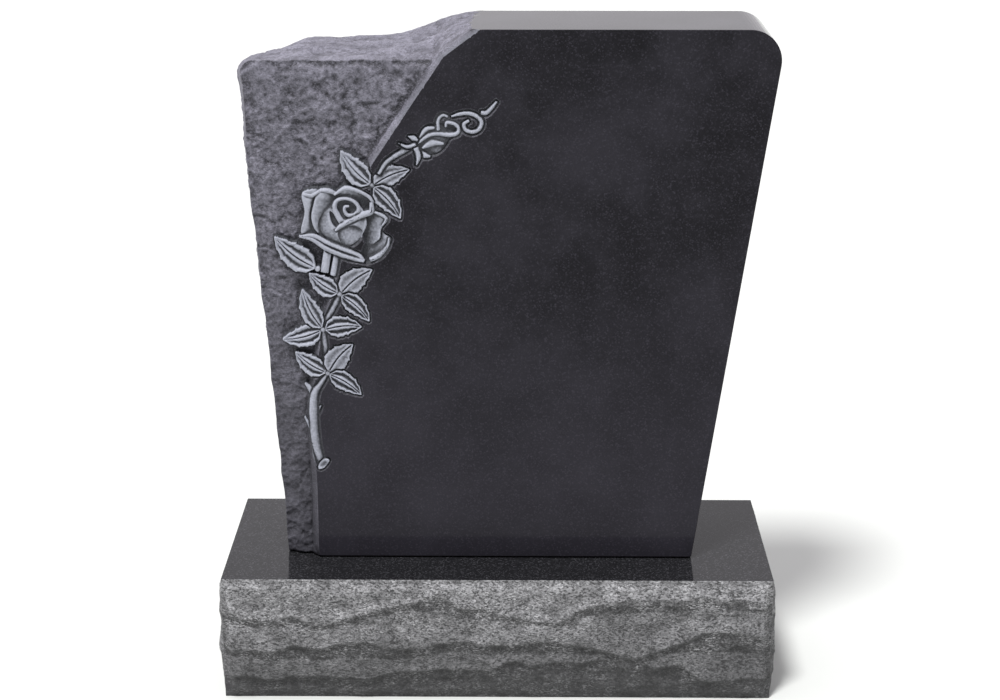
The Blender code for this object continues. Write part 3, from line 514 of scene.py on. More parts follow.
def carve_rose_front(branch):
    """The rose's rolled rims, its cup with the coiled heart, and the long lower lip."""
    rims = [
        ([(-22, 470), (-8, 468), (3, 474)], [1.5, 3.5, 1.5]),
        ([(6, 476), (18, 476), (30, 471)], [1.5, 3.2, 1.8]),
        ([(28, 469), (46, 480), (66, 476), (83, 467), (91, 455)], [1.5, 3.0, 2.6, 2.6, 2.0]),
        ([(92, 441), (104, 436), (111, 429), (104, 418)], [1.5, 2.6, 2.8, 1.2]),
        ([(115, 398), (112, 384), (98, 368), (84, 361)], [1.4, 3.0, 4.5, 3.0]),
    ]
    branch.cut = 0.35
    branch.strips(rims, rounded(top=0.0, fall=0.002))
    cup = [(22, 449), (8, 436), (2, 418), (10, 401), (24, 388), (44, 381), (62, 390),
           (74, 408), (79, 424), (72, 446), (48, 466), (30, 462)]
    branch.dish(cup, domed(branch, 0.0, (44, 420), 42))
    slot = [(21, 441), (30, 431), (36, 421), (30, 416), (23, 426)]
    branch.dish(slot, domed(branch, 0.0075, (27, 428), 20, fall=-0.001))
    heart = domed(branch, 0.0075, (49, 445), 17, fall=-0.001)
    branch.dish(ring_around(49, 445, 17, 8), heart)
    coil = [(51, 450), (45, 449), (44, 443), (48, 436), (58, 435), (66, 442), (66, 450),
            (58, 459), (44, 463), (32, 459), (28, 448), (32, 436), (40, 422)]
    widths = [1.4, 2.0, 2.4, 2.8, 3.2, 3.2, 2.8, 2.4, 2.4, 2.8, 3.4, 4.4, 4.6]
    branch.strip(coil, widths, rounded(top=0.0005, fall=0.0025))
    fold = [(88, 456), (87, 442), (74, 436), (55, 427), (40, 419), (29, 410)]
    branch.strip(fold, [3.0, 4.6, 4.6, 4.6, 4.4, 2.0], rounded(top=0.0, fall=0.0025))
    petal = [(34, 407), (46, 415), (60, 416), (72, 408), (62, 392), (42, 384)]
    branch.dish(petal, domed(branch, 0.001, (54, 400), 24, fall=0.004))
    lip = [(-30, 400), (-8, 398), (14, 385), (42, 373), (62, 366), (74, 359)]
    branch.cut = 0.8
    branch.strip(lip, [1.2, 6.5, 9.0, 9.5, 8.0, 2.0], rolled(top=0.0, fall=0.0045))
    branch.cut = 1.0


def carve_bud(branch):
    """The rosebud: stalk, sepals, folded petals, and the scrolls above it."""
    stalk = [(100, 503), (112, 522), (130, 535), (152, 547)]
    branch.strip(stalk, [3.0, 4.0, 4.6, 4.0], rounded(top=0.002, fall=0.002))
    bud = [(161, 560), (174, 578), (190, 584), (214, 582), (226, 572), (213, 560), (208, 551),
           (196, 539), (182, 536), (166, 545)]
    branch.dish(bud, domed(branch, 0.002, (190, 560), 32))
    folds = [
        ([(166, 562), (177, 576), (192, 579)], [1.5, 4.5, 2.0]),
        ([(170, 545), (186, 554), (204, 553)], [1.5, 6.5, 2.0]),
        ([(164, 554), (180, 566), (196, 569), (211, 567), (225, 569), (229, 577), (222, 585),
          (210, 587), (208, 580)], [1.5, 3.4, 3.6, 3.4, 3.4, 3.2, 3.0, 2.8, 1.6]),
        ([(196, 575), (196, 591), (203, 599), (211, 597)], [2.8, 3.2, 3.0, 2.0]),
    ]
    branch.cut = 0.5
    branch.strips(folds, rounded(top=0.0005, fall=0.0025))
    branch.cut = 1.0
    sepals = [
        ([(163, 558), (156, 562), (148, 565)], [2.0, 5.0, 1.0]),
        ([(160, 551), (146, 548), (132, 554)], [3.5, 3.0, 1.0]),
        ([(166, 541), (174, 534), (183, 532)], [2.5, 5.0, 1.5]),
        ([(160, 546), (164, 532), (161, 518)], [4.0, 4.5, 1.2]),
    ]
    branch.strips(sepals, rounded(top=0.001, fall=0.002))
    scroll = [(217, 597), (231, 601), (246, 602), (259, 596), (265, 586), (260, 576), (249, 572),
              (239, 576), (237, 585), (245, 590)]
    widths = [1.5, 3.4, 3.6, 3.6, 3.6, 3.6, 3.6, 3.4, 3.2, 2.4]
    branch.strip(scroll, widths, rounded(top=0.0005, fall=0.0025))
    tail = [(264, 603), (272, 603), (281, 611), (289, 621)]
    branch.strip(tail, [3.2, 4.0, 3.4, 2.0], rounded(top=0.001, fall=0.002))


def carved_branch(sizes, foot_x, foot_z):
    """The whole branch, in the order in which its forms lie over each other."""
    branch = Branch(sizes, foot_x, foot_z)
    carve_stem(branch)
    for joint, leaves in CLUSTERS:
        carve_cluster(branch, joint, leaves, top=0.0012)
    carve_rose_back(branch)
    carve_cluster(branch, *TOP_CLUSTER, top=0.0010)
    carve_rose_front(branch)
    carve_bud(branch)
    return branch


def broken_stone(a, b, seed):
    """Pitched stone, about -1 to 1: broad swells, two sizes of bowls, and two of crumbs."""
    warp_a = a + 0.006 * grain(a, b, 0.020, seed)
    warp_b = b + 0.006 * grain(a, b, 0.020, seed + 1)
    total = 0.70 * grain(warp_a, warp_b, 0.050, seed + 2)
    total = total + 1.0 * (scallops(warp_a, warp_b, 0.032, seed + 3) - 0.5)
    total = total - 0.50 * (scallops(warp_a, 1.4 * warp_b, 0.015, seed + 6) - 0.5)
    return total + 0.16 * grain(a, b, 0.006, seed + 9) + 0.10 * grain(a, b, 0.003, seed + 10)


def crests(height, radius, full):
    """How far each point of a grid stands above the mean of its neighbours, within this
    many cells, from -0.5 in a hollow to 0.5 on a crest of the full height."""
    mean = height
    for axis in (0, 1):
        pads = [(0, 0), (0, 0)]
        pads[axis] = (radius + 1, radius)
        total = np.cumsum(np.pad(mean, pads, mode="edge"), axis=axis)
        ahead = np.take(total, np.arange(2 * radius + 1, total.shape[axis]), axis=axis)
        behind = np.take(total, np.arange(0, total.shape[axis] - 2 * radius - 1), axis=axis)
        mean = (ahead - behind) / (2 * radius + 1)
    return np.clip(0.5 * (height - mean) / full, -0.5, 0.5)


def quads(number):
    """Quads between neighbours of a grid of vertex numbers."""
    corners = [number[:-1, :-1], number[:-1, 1:], number[1:, 1:], number[1:, :-1]]
    return np.stack([corner.ravel() for corner in corners], axis=1)


class Tablet:
    """The tablet's outline, its front sheet of depths, and its sides."""

    def __init__(self, block, pitched, sizes):
        self.block, self.pitched, self.sizes = block, pitched, sizes
        self.left_top = block.foot_left - block.left_lean
        self.polish_x = self.left_top + pitched.top_width
        self.crest_z = TOP_Z - pitched.crest_drop
        self.panel_foot = block.foot_left + pitched.foot_width
        self.branch = carved_branch(sizes, self.panel_foot + sizes.inset, FOOT_Z + sizes.rise)
        self.edge = self.panel_edge()
        self.bevel_foot = self.edge + normals_of(self.edge) * pitched.bevel_width
        self.slope = math.atan2(block.right_lean, TOP_Z - FOOT_Z)
        # Height above which the bevel is painted lit
        self.lit_bevel_foot = self.branch.place([(0, 500)])[0, 1]

    def panel_edge(self):
        """The polished panel's left edge from foot to top."""
        behind = self.branch.place(EDGE_BEHIND_BRANCH)
        knee = (self.polish_x - self.pitched.knee_run, TOP_Z - self.pitched.knee_drop)
        low = [(self.panel_foot, FOOT_Z), (self.panel_foot, (FOOT_Z + behind[0][1]) / 2)]
        path = curve_through(low + [tuple(point) for point in behind], 8)
        share = np.linspace(0.0, 1.0, 9)[1:, None]
        high = path[-1] + (np.array(knee) - path[-1]) * share
        return np.vstack([path, high, [(self.polish_x, TOP_Z)]])

    def right_edge(self, z):
        """Right side's x at a height."""
        return self.block.foot_right + self.block.right_lean * (z - FOOT_Z) / (TOP_Z - FOOT_Z)

    def left_edge(self, share):
        """Left edge's x at a share of its height, a little uneven."""
        lean = self.block.left_lean * share
        wave = ripples(share * 10, EDGE_RIPPLES) * np.minimum(1.0, 12 * share)
        return self.block.foot_left - lean + wave

    def back_crest(self, x):
        """Height of the pitched top along the tablet's back."""
        rough = self.pitched
        saddle = rough.saddle_drop * smooth((self.polish_x - x) / rough.saddle_run)
        over = rough.shoulder_run + self.block.back_lean - self.block.left_lean
        shoulder = rough.shoulder_drop * smooth((self.left_top + rough.shoulder_run - x) / over)
        return TOP_Z - saddle - shoulder

    def top_line(self, x):
        """Front outline's top: shoulder arc, uneven crest, brow beside the panel, flat top."""
        radius = self.pitched.shoulder_round
        reach = np.clip((self.left_top + radius - x) / radius, 0.0, 1.0)
        crest = self.crest_z - radius * (1 - np.sqrt(1 - reach ** 2))
        crest = crest + ripples(x, CREST_RIPPLES) * (1 - reach)
        high = self.bevel_foot[self.bevel_foot[:, 1] > self.crest_z - 0.1]
        brow = np.interp(x, high[:, 0], high[:, 1], left=FOOT_Z, right=TOP_Z)
        return np.minimum(np.maximum(crest, brow), TOP_Z)

    def columns_and_rows(self):
        """The front sheet's x and z: rows run from the foot to the top line, and columns
        from the left edge past the branch, then widely spaced to the right side's arris."""
        heights = [FOOT_Z, FOOT_Z + FINE_FROM, FOOT_Z + FINE_TO, TOP_Z]
        spans = zip(heights, heights[1:], [ROW_STEP, FINE_ROW_STEP, ROW_STEP])
        rows = [np.arange(low, high - 0.5 * step, step) for low, high, step in spans]
        v = (np.append(np.concatenate(rows), TOP_Z) - FOOT_Z) / (TOP_Z - FOOT_Z)
        middle = np.interp(FOOT_Z + v * (TOP_Z - FOOT_Z), self.edge[:, 1], self.edge[:, 0])
        pad = 50
        middle = np.convolve(np.pad(middle, pad, mode="edge"), np.ones(2 * pad + 1), "valid")
        reach = middle / (2 * pad + 1) + np.interp(v, REACH_SHARES, REACHES)
        left = self.left_edge(v)
        inset = self.block.arris / math.cos(self.slope)

        radius = self.block.corner
        turn = math.tan(self.slope) + 1 / math.cos(self.slope)
        centre = np.array([self.right_edge(TOP_Z) - radius * turn, TOP_Z - radius])
        angle = np.linspace(math.pi / 2, -self.slope, ARC_STEPS)
        inner = radius - self.block.arris
        arc_x, arc_z = centre[0] + inner * np.cos(angle), centre[1] + inner * np.sin(angle)

        fine = np.linspace(0.0, 1.0, FINE_COLUMNS)
        coarse = np.linspace(0.0, 1.0, WIDE_COLUMNS + 1)[1:]
        top_x = np.concatenate([left[-1] + (reach[-1] - left[-1]) * fine,
                                reach[-1] + (centre[0] - reach[-1]) * coarse, arc_x[1:]])
        cover = smooth((top_x - self.polish_x) / 0.004)
        top_z = self.top_line(top_x) - self.block.arris * cover
        top_z[-len(arc_z) + 1:] = arc_z[1:]

        last_z = FOOT_Z + v * (top_z[-1] - FOOT_Z)
        end = self.right_edge(last_z) - inset
        spread = (top_x[len(fine):] - reach[-1]) / (top_x[-1] - reach[-1])
        x_fine = left[:, None] + (reach - left)[:, None] * fine[None, :]
        x_wide = reach[:, None] + (end - reach)[:, None] * spread[None, :]
        z = FOOT_Z + v[:, None] * (top_z[None, :] - FOOT_Z)
        return np.hstack([x_fine, x_wide]), z, cover, centre

    def ground(self, points, from_left):
        """Depth of the panel, its bevelled edge and the pitched ground beside it, and how
        far each point lies left of the panel."""
        rough = self.pitched
        below = self.edge[0] - np.array([0.0, 0.1])
        above = self.edge[-1] + np.array([0.0, 0.1])
        far = self.block.foot_right + 1.0
        field = np.vstack([[below], self.edge, [above], [(far, above[1])], [(far, below[1])]])
        away = np.full(len(points), -1.0)
        near = points[:, 0] < self.polish_x + 0.01
        away[near] = -signed_distance(points[near], field)
        x, z = points[:, 0], points[:, 1]
        pitched = rough.ground + rough.relief * broken_stone(x, z, 11)
        pitched = pitched + rough.edge_roll * smooth(1.0 - from_left / ROLL_WIDTH)
        below_top = (self.top_line(x) - z) / BROW_WIDTH
        pitched = pitched + 0.6 * rough.edge_roll * smooth(1.0 - below_top)
        bevel = rough.bevel_drop * np.clip(away / rough.bevel_width, 0.0, 1.0)
        past = smooth((away - rough.bevel_width) / (0.6 * rough.bevel_width))
        drop = np.maximum(pitched - rough.bevel_drop, 0.0)
        return bevel + drop * past, away

    def carve(self, points, depth):
        """Lay the branch's forms over the ground, each with a cut groove around it.
        Returns how far each point belongs to carved stone, and its painted shade beside a form."""
        sizes = self.sizes
        marks, *marks_size = TOOL_MARKS
        carved, beside = np.zeros(len(points)), np.zeros(len(points))
        for form in self.branch.forms:
            low = form.outline.min(0) - sizes.painted_shade_width
            high = form.outline.max(0) + sizes.painted_shade_width
            here = np.flatnonzero(((points > low) & (points < high)).all(1))
            gap = -signed_distance(points[here], form.outline)
            # Painted shade on the stone just outside this form, fading with the distance
            close = form.cut * smooth(1.0 - gap / sizes.painted_shade_width)
            beside[here] = np.where(gap > 0, np.maximum(beside[here], close), 0.0)
            here, gap = here[gap < sizes.groove_width], gap[gap < sizes.groove_width]
            slope = np.clip((gap - sizes.wall) / (sizes.groove_width - sizes.wall), 0.0, 1.0)
            cut = np.maximum(depth[here], form.cut * sizes.groove_depth * (1.0 - slope))
            step = smooth(1.0 - gap / sizes.wall)
            own = form.depth(points[here]) + marks * grain(*points[here].T, *marks_size)
            depth[here] = cut * (1.0 - step) + own * step
            carved[here] = np.maximum(carved[here], smooth((sizes.groove_width - gap) / 0.003))
        return carved, beside

    def rim(self, x, z, cover, centre):
        """The sheet's outline, anticlockwise: its vertex numbers and places, where each
        ends up at the back, how rough it is, and its outward direction where polished."""
        rows, columns = x.shape
        number = np.arange(rows * columns).reshape(rows, columns)
        ring = np.concatenate(
            [number[0, :-1], number[:-1, -1], number[-1, :0:-1], number[:0:-1, 0]])
        place = np.column_stack([x.ravel(), z.ravel()])[ring]
        back, rough, out = place.copy(), np.zeros(len(ring)), np.zeros((len(ring), 2))
        side = slice(columns - 1, columns + rows - 2)
        top = slice(side.stop, side.stop + columns - 1)
        left = slice(top.stop, len(ring))

        out[side] = (math.cos(self.slope), -math.sin(self.slope))
        radial = place[top] - centre
        radial[radial[:, 0] <= 0] = (0.0, 1.0)
        radial = radial / np.linalg.norm(radial, axis=1, keepdims=True)
        out[top] = radial * cover[:0:-1, None]

        reach = self.block.back_lean - self.block.left_lean
        radius = self.pitched.shoulder_round
        top_x = place[top, 0]
        rest = np.clip((self.left_top + radius - top_x) / radius, 0.0, 1.0)
        fall = radius * (1 - np.sqrt(1 - rest ** 2))
        behind_x = top_x - reach * rest
        behind = np.column_stack([behind_x, self.back_crest(behind_x) - fall])
        back[top] = np.where((top_x < self.polish_x)[:, None], behind, back[top])
        rough[top] = smooth((self.polish_x - top_x) / PITCHED_FADE)

        share = (place[left, 1] - FOOT_Z) / (place[left.start, 1] - FOOT_Z)
        behind_top = self.back_crest(self.left_top - reach) - radius
        wave = 0.003 * np.sin(math.pi * share) * grain(share * 10, 9 + 0 * share, 1.2, 6)
        back[left, 0] = self.block.foot_left - self.block.back_lean * share + wave
        back[left, 1] = FOOT_Z + (behind_top - FOOT_Z) * share
        rough[left] = 1.0
        return ring, place, back, rough, out

    def side_rows(self, place, back, rough, out, start_y):
        """Rows of the sides from the sheet's outline to the back: polished stone turns a
        quarter round at each arris, and pitched stone swells and is broken."""
        arris = self.block.arris
        turns = np.radians(QUARTER_TURN)
        flat = np.linspace(arris, THICKNESS - arris, SIDE_ROWS)[1:-1]
        level = np.concatenate([arris * (1 - np.cos(turns)), flat,
                                THICKNESS - arris * (1 - np.sin(turns))])
        push = np.concatenate([arris * np.sin(turns), np.full(len(flat), arris),
                               arris * np.cos(turns)])
        share = level / THICKNESS
        normal = -normals_of(place, closed=True)
        run = np.cumsum(np.linalg.norm(np.diff(place, axis=0, prepend=place[:1]), axis=1))
        along, across = np.meshgrid(run, share * THICKNESS)
        uneven = self.pitched.relief * broken_stone(along, across, 61)
        ease = np.interp(share, *SIDE_EASE)
        swell = self.pitched.bulge * np.sin(math.pi * share)[:, None] + uneven * ease[:, None]
        plan = place[None] + (back - place)[None] * share[:, None, None]
        plan = plan + normal[None] * (swell * rough)[..., None]
        plan = plan + out[None] * (push[:, None] * (1 - rough))[..., None]
        plan[..., 1] = np.clip(plan[..., 1], FOOT_Z, TOP_Z)
        y = start_y[None] + (BACK_Y - start_y)[None] * share[:, None]
        # Painted light where the pitched sides face up; paler crests and darker hollows are painted
        # light and shade
        painted_top_light = FACING_UP_PAINTED_LIGHT * np.clip(normal[:, 1], 0.0, 1.0)
        crest = 0.5 + rough * (crests(uneven, 6, self.pitched.painted_crest_height) + painted_top_light)
        return np.dstack([plan[..., 0], y, plan[..., 1]])[1:], crest[1:].ravel()

    def surface(self):
        """Vertices, quads, closing cap and masks of the whole closed block."""
        x, z, cover, centre = self.columns_and_rows()
        points = np.column_stack([x.ravel(), z.ravel()])
        depth, away = self.ground(points, (x - x[:, :1]).ravel())
        carved, close = self.carve(points, depth)
        ring, place, back, rough, out = self.rim(x, z, cover, centre)
        front = np.column_stack([points[:, 0], PANEL_Y + depth, points[:, 1]])
        sides, side_crest = self.side_rows(place, back, rough, out, front[ring, 1])
        height = -depth.reshape(x.shape)
        # Painted light and shade: paler where the front stands above its neighbours, darker in its
        # hollows
        full = self.pitched.painted_crest_height
        fine, broad = PAINTED_SHADE_CELLS
        crest = 0.5 + PAINTED_SHADE_SHARES[0] * crests(height, fine, full)
        crest = crest + PAINTED_SHADE_SHARES[1] * crests(height, broad, 2 * full)
        # Painted light: the bevel is lit only above this height, with painted shadow below it
        painted_lit_part = smooth((points[:, 1] - self.lit_bevel_foot) / LIT_BEVEL_FADE)
        width = self.pitched.bevel_width
        # Painted shadow in the strip left of the panel below the lit part of the bevel, and painted
        # shade beside each carved form
        trench = smooth(away / 0.001) * smooth((2 * width - away) / 0.006) * (1 - painted_lit_part)
        crest = crest.ravel() - TRENCH_PAINTED_SHADOW * trench * (1 - carved) - BESIDE_PAINTED_SHADE * close
        # Painted shade in the groove along each form's lip on the panel's side
        lip = (close > 0) & (carved < 1) & (away <= 0)
        crest[lip] = np.minimum(crest[lip], LIP_PAINTED_SHADE_CAP)
        layers = len(front) + np.arange(sides.shape[0] * len(ring)).reshape(-1, len(ring))
        layers = np.vstack([ring, layers])
        sheet = quads(np.arange(x.size).reshape(x.shape))
        wrap = quads(np.column_stack([layers, layers[:, 0]]))[:, [0, 3, 2, 1]]
        plain = np.zeros(sides.shape[0] * len(ring))
        honed_lit_bevel = smooth(away / 0.0005) * smooth((0.9 * width - away) / 0.002)
        shiny = np.concatenate([depth < 1e-6, np.tile(rough < 0.01, sides.shape[0])])
        faces = np.vstack([sheet, wrap])
        masks = {
            "carved": np.concatenate([carved, plain]),
            # The bevel's paler finish, painted lit only above its foot
            "honed_lit_bevel": np.concatenate([honed_lit_bevel * painted_lit_part * (1 - carved), plain]),
            # The crest mask carries painted light and shade for the front and the sides
            "crest": np.concatenate([crest, side_crest]),
        }
        vertices = np.vstack([front, sides.reshape(-1, 3)])
        broken = np.append(~shiny[faces].all(axis=1), False)
        return vertices, faces, layers[-1][::-1], masks, broken


def solid(name, vertices, faces, caps, masks, broken):
    """A mesh object from arrays: quads and closing caps, a value per vertex for each mask,
    and for every face whether it is broken stone."""
    mesh = bpy.data.meshes.new(name)
    mesh.vertices.add(len(vertices))
    mesh.vertices.foreach_set("co", np.ascontiguousarray(vertices, np.float32).ravel())
    sizes = np.concatenate([np.full(len(faces), 4), [len(cap) for cap in caps]]).astype(np.int32)
    corners = np.concatenate([faces.ravel()] + [np.asarray(cap) for cap in caps])
    mesh.loops.add(len(corners))
    mesh.loops.foreach_set("vertex_index", corners.astype(np.int32))
    mesh.polygons.add(len(sizes))
    starts = np.concatenate([[0], np.cumsum(sizes)[:-1]]).astype(np.int32)
    mesh.polygons.foreach_set("loop_start", starts)
    mesh.polygons.foreach_set("material_index", broken.astype(np.int32))
    for mask, values in masks.items():
        layer = mesh.attributes.new(mask, "FLOAT", "POINT")
        layer.data.foreach_set("value", np.asarray(values, np.float32))
    mesh.update(calc_edges=True)
    if mesh.validate():
        raise RuntimeError(f"{name}: the surface had faults")
    item = bpy.data.objects.new(name, mesh)
    bpy.context.collection.objects.link(item)
    return item


def read(rows, name, kind, width=1):
    """One value, or a few side by side, of every vertex, corner or face of a mesh."""
    values = np.empty(len(rows) * width, kind)
    rows.foreach_get(name, values)
    return values.reshape(-1, width) if width > 1 else values


def thinned(item, materials, triangles):
    """Bring an object down to about this many triangles, in a mesh that takes the place of
    its own. The first material's faces are polished and stay flat; the others are smooth."""
    old = item.data
    for material in materials:
        old.materials.append(material)
    count = len(old.loops) - 2 * len(old.polygons)
    thin = item.modifiers.new("Thin", "DECIMATE")
    thin.ratio = min(1.0, triangles / count)
    thin.use_collapse_triangulate = True
    evaluated = item.evaluated_get(bpy.context.evaluated_depsgraph_get())
    item.data = bpy.data.meshes.new_from_object(evaluated)
    item.modifiers.remove(thin)
    name = old.name
    bpy.data.meshes.remove(old)
    item.data.name = name
    kind = read(item.data.polygons, "material_index", np.int32)
    item.data.polygons.foreach_set("use_smooth", kind > 0)
    item.data.update()


def flatten(mesh):
    """Put the thinned tablet's triangles that lie along the panel back in its plane, and
    polish them and those along the top."""
    places = read(mesh.vertices, "co", np.float32, 3)
    corners = read(mesh.loops, "vertex_index", np.int32).reshape(-1, 3)
    kind = read(mesh.polygons, "material_index", np.int32)
    carved = read(mesh.attributes["carved"].data, "value", np.float32)
    panel = places[corners, 1].max(axis=1) < PANEL_Y + ON_PLANE
    panel &= carved[corners].max(axis=1) < 0.5
    places[corners[panel].ravel(), 1] = PANEL_Y
    kind[panel | (places[corners, 2].min(axis=1) > TOP_Z - ON_PLANE)] = 0
    mesh.vertices.foreach_set("co", places.ravel())
    mesh.polygons.foreach_set("material_index", kind)
    mesh.polygons.foreach_set("use_smooth", kind > 0)
    mesh.update()


class Wave:
    """A number in the shader's node tree that can stand in sums and products."""

    def __init__(self, finish, socket):
        self.finish = finish
        self.socket = socket

    def maths(self, operation, first, second):
        """What a maths node makes of two numbers."""
        node = self.finish.node("ShaderNodeMath", {"operation": operation}, {0: first, 1: second})
        return Wave(self.finish, node.outputs[0])

    def __add__(self, other):
        return self.maths("ADD", self, other)

    def __sub__(self, other):
        return self.maths("SUBTRACT", self, other)

    def __rsub__(self, other):
        return self.maths("SUBTRACT", other, self)

    def __mul__(self, other):
        return self.maths("MULTIPLY", self, other)

    __radd__ = __add__
    __rmul__ = __mul__

    def power(self, other):
        """This number raised to a power."""
        return self.maths("POWER", self, other)

    def between(self, low, high):
        """0 at the low value, 1 at the high one, eased between."""
        node = self.finish.node(
            "ShaderNodeMapRange", {"interpolation_type": "SMOOTHSTEP"},
            {"Value": self, "From Min": low, "From Max": high})
        return Wave(self.finish, node.outputs[0])


class Nodes:
    """A node tree that nodes are added to."""

    def __init__(self, tree):
        self.tree = tree

    def join(self, socket, value):
        """Link or set one input."""
        if isinstance(value, Wave):
            value = value.socket
        if isinstance(value, bpy.types.NodeSocket):
            self.tree.links.new(value, socket)
        else:
            socket.default_value = value

    def node(self, kind, settings, sockets):
        """Any node: its settings first, then the values or links of its sockets."""
        made = self.tree.nodes.new(kind)
        for name, value in settings.items():
            setattr(made, name, value)
        for name, value in sockets.items():
            self.join(made.inputs[name], value)
        return made


class Finish(Nodes):
    """A procedural stone finish around one Principled shader."""

    def __init__(self, name, roughness):
        self.material = bpy.data.materials.new(name)
        self.material.use_nodes = True
        super().__init__(self.material.node_tree)
        self.shader = self.tree.nodes["Principled BSDF"]
        self.shader.inputs["Roughness"].default_value = roughness
        self.place = self.node("ShaderNodeTexCoord", {}, {}).outputs["Object"]

    def noise(self, size, detail=3.0, rough=0.55):
        """Smooth noise with features of this size, about 0 to 1."""
        node = self.node("ShaderNodeTexNoise", {}, {
            "Vector": self.place, "Scale": 1.0 / size, "Detail": detail, "Roughness": rough})
        return Wave(self, node.outputs[0])

    def crystals(self, size, flat=1.0):
        """A random number for each crystal of this size, flattened this many times."""
        squeeze = {0: self.place, 1: (1.0, 1.0, flat)}
        place = self.node("ShaderNodeVectorMath", {"operation": "MULTIPLY"}, squeeze).outputs[0]
        node = self.node("ShaderNodeTexVoronoi", {}, {"Vector": place, "Scale": 1.0 / size})
        split = self.node("ShaderNodeSeparateColor", {}, {0: node.outputs["Color"]})
        return Wave(self, split.outputs[0])

    def height(self):
        """How high the surface lies."""
        node = self.node("ShaderNodeSeparateXYZ", {}, {0: self.place})
        return Wave(self, node.outputs[2])

    def mask(self, name):
        """A value that the mesh carries."""
        node = self.node("ShaderNodeAttribute", {"attribute_name": name}, {})
        return Wave(self, node.outputs["Fac"])

    def mix(self, share, first, second):
        """One colour turning into another."""
        node = self.node("ShaderNodeMix", {"data_type": "RGBA"}, {0: share, 6: first, 7: second})
        return node.outputs[2]

    def layers(self, stone, colour, shades):
        """Lay shades of one colour over a stone, each with its share."""
        for share, factor in shades:
            stone = self.mix(share, stone, shade(colour, factor))
        return stone

    def colour(self, value):
        """What the surface's colour is."""
        self.join(self.shader.inputs["Base Color"], value)

    def bump(self, height, distance):
        """Small unevenness in the light."""
        node = self.node("ShaderNodeBump", {}, {
            "Height": height, "Distance": distance, "Strength": 1.0})
        self.join(self.shader.inputs["Normal"], node.outputs[0])


def shade(colour, factor):
    """A colour made lighter or darker, with full alpha."""
    return tuple(min(1.0, channel * factor) for channel in colour[:3]) + (1.0,)


def polished_finish(name, colour, cloud, mirror, fleck):
    """Polished granite: near black, faint clouds, scattered lighter crystals, painted light low
    down.
    """
    finish = Finish(name, 0.10)
    finish.shader.inputs["Specular IOR Level"].default_value = mirror
    clouds = finish.noise(CLOUDS, 5.0, 0.6).between(0.35, 0.72)
    stone = finish.mix(clouds, shade(colour, 0.7), shade(colour, cloud))
    finish.colour(finish.layers(stone, colour, [
        # Painted light: paler toward the foot, below 0.85 m
        (finish.height().between(0.85, 0.25) * 0.5, 1.5 * cloud),
        (finish.crystals(FLECKS).power(6.0) * 0.5, fleck),
    ]))
    return finish.material


def pitched_finish(name, colour, carved, heights, contrast):
    """Broken granite: mottled and speckled with crystals; painted light on its crests, painted
    glints on crystals, painted shade in its hollows and toward its foot; paler where carved, and
    paler along the bevel, painted lit only above the bevel's foot."""
    finish = Finish(name, 0.62)
    finish.shader.inputs["Specular IOR Level"].default_value = 0.3
    # The crest mask holds painted light and shade: paler on crests, darker in hollows
    crest = finish.mask("crest")
    speckle = finish.crystals(SPECKLES)
    mottle = finish.noise(MOTTLES, 4.0, 0.6).between(0.3, 0.7)
    grit = finish.crystals(GRIT, 1.8) * 0.6 + finish.noise(ROUGH_GRIT, 5.0, 0.75) * 0.4
    grit = grit.between(0.25, 0.75)
    patch = finish.noise(PATCHES, 3.0, 0.6).between(0.35, 0.65)
    # Painted highlights: bright glints on scattered crystals
    painted_glint = finish.crystals(PAINTED_GLINTS, 2.2).power(3.0) * patch
    # Lit and shaded copies of the colour, chosen by the crest mask: painted light and shade
    stone = finish.mix(crest, shade(colour, 0.12), shade(colour, 2.1))
    stone = finish.layers(stone, colour, [
        (mottle * 0.5, 0.5),
        ((1.0 - grit) * contrast, 0.2),
        (painted_glint * contrast, 3.6),
        (speckle.power(3.0) * 0.4, 2.0),
        (speckle.between(0.25, 0.12) * 0.35, 0.25),
        # Painted shade: darker toward the foot
        (finish.height().between(heights[1], heights[0]) * 0.7, 0.25),
    ])
    if carved is not None:
        # Carved stone is paler; its lit and shaded copies by the crest mask are painted light and
        # shade
        cut = finish.mix(crest.between(0.18, 0.9), shade(carved, 0.13), shade(carved, 1.75))
        cut = finish.mix(speckle * 0.25, cut, shade(carved, 0.7))
        # The bevel's paler finish, painted lit only above its foot
        stone = finish.mix(finish.mask("honed_lit_bevel") * 0.75, stone, shade(carved, 0.6))
        stone = finish.mix(finish.mask("carved"), stone, cut)
    finish.colour(stone)
    finish.bump(finish.noise(ROUGH_GRIT, 5.0, 0.7), 0.0022 * contrast)
    return finish.material


class MEMORIAL_OT_tablet(bpy.types.Operator):
    """Make the carved tablet"""

    bl_idname = "memorial.tablet"
    bl_label = "Carved Tablet"

    def execute(self, context):
        scene = context.scene
        block, colours = scene.memorial_block, scene.memorial_colours
        tablet = Tablet(block, scene.memorial_pitched, scene.memorial_branch)
        vertices, faces, cap, masks, broken = tablet.surface()
        item = solid("tablet_stone", vertices, faces, [cap], masks, broken)
        thinned(item, [
            polished_finish("tablet_polished", colours.polished, 1.9, 0.09, 4.2),
            pitched_finish("tablet_pitched", colours.pitched, colours.carved, (FOOT_Z, 0.95), 0.35),
        ], block.faces)
        flatten(item.data)
        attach(item, "root")
        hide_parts("tablet")
        return {"FINISHED"}


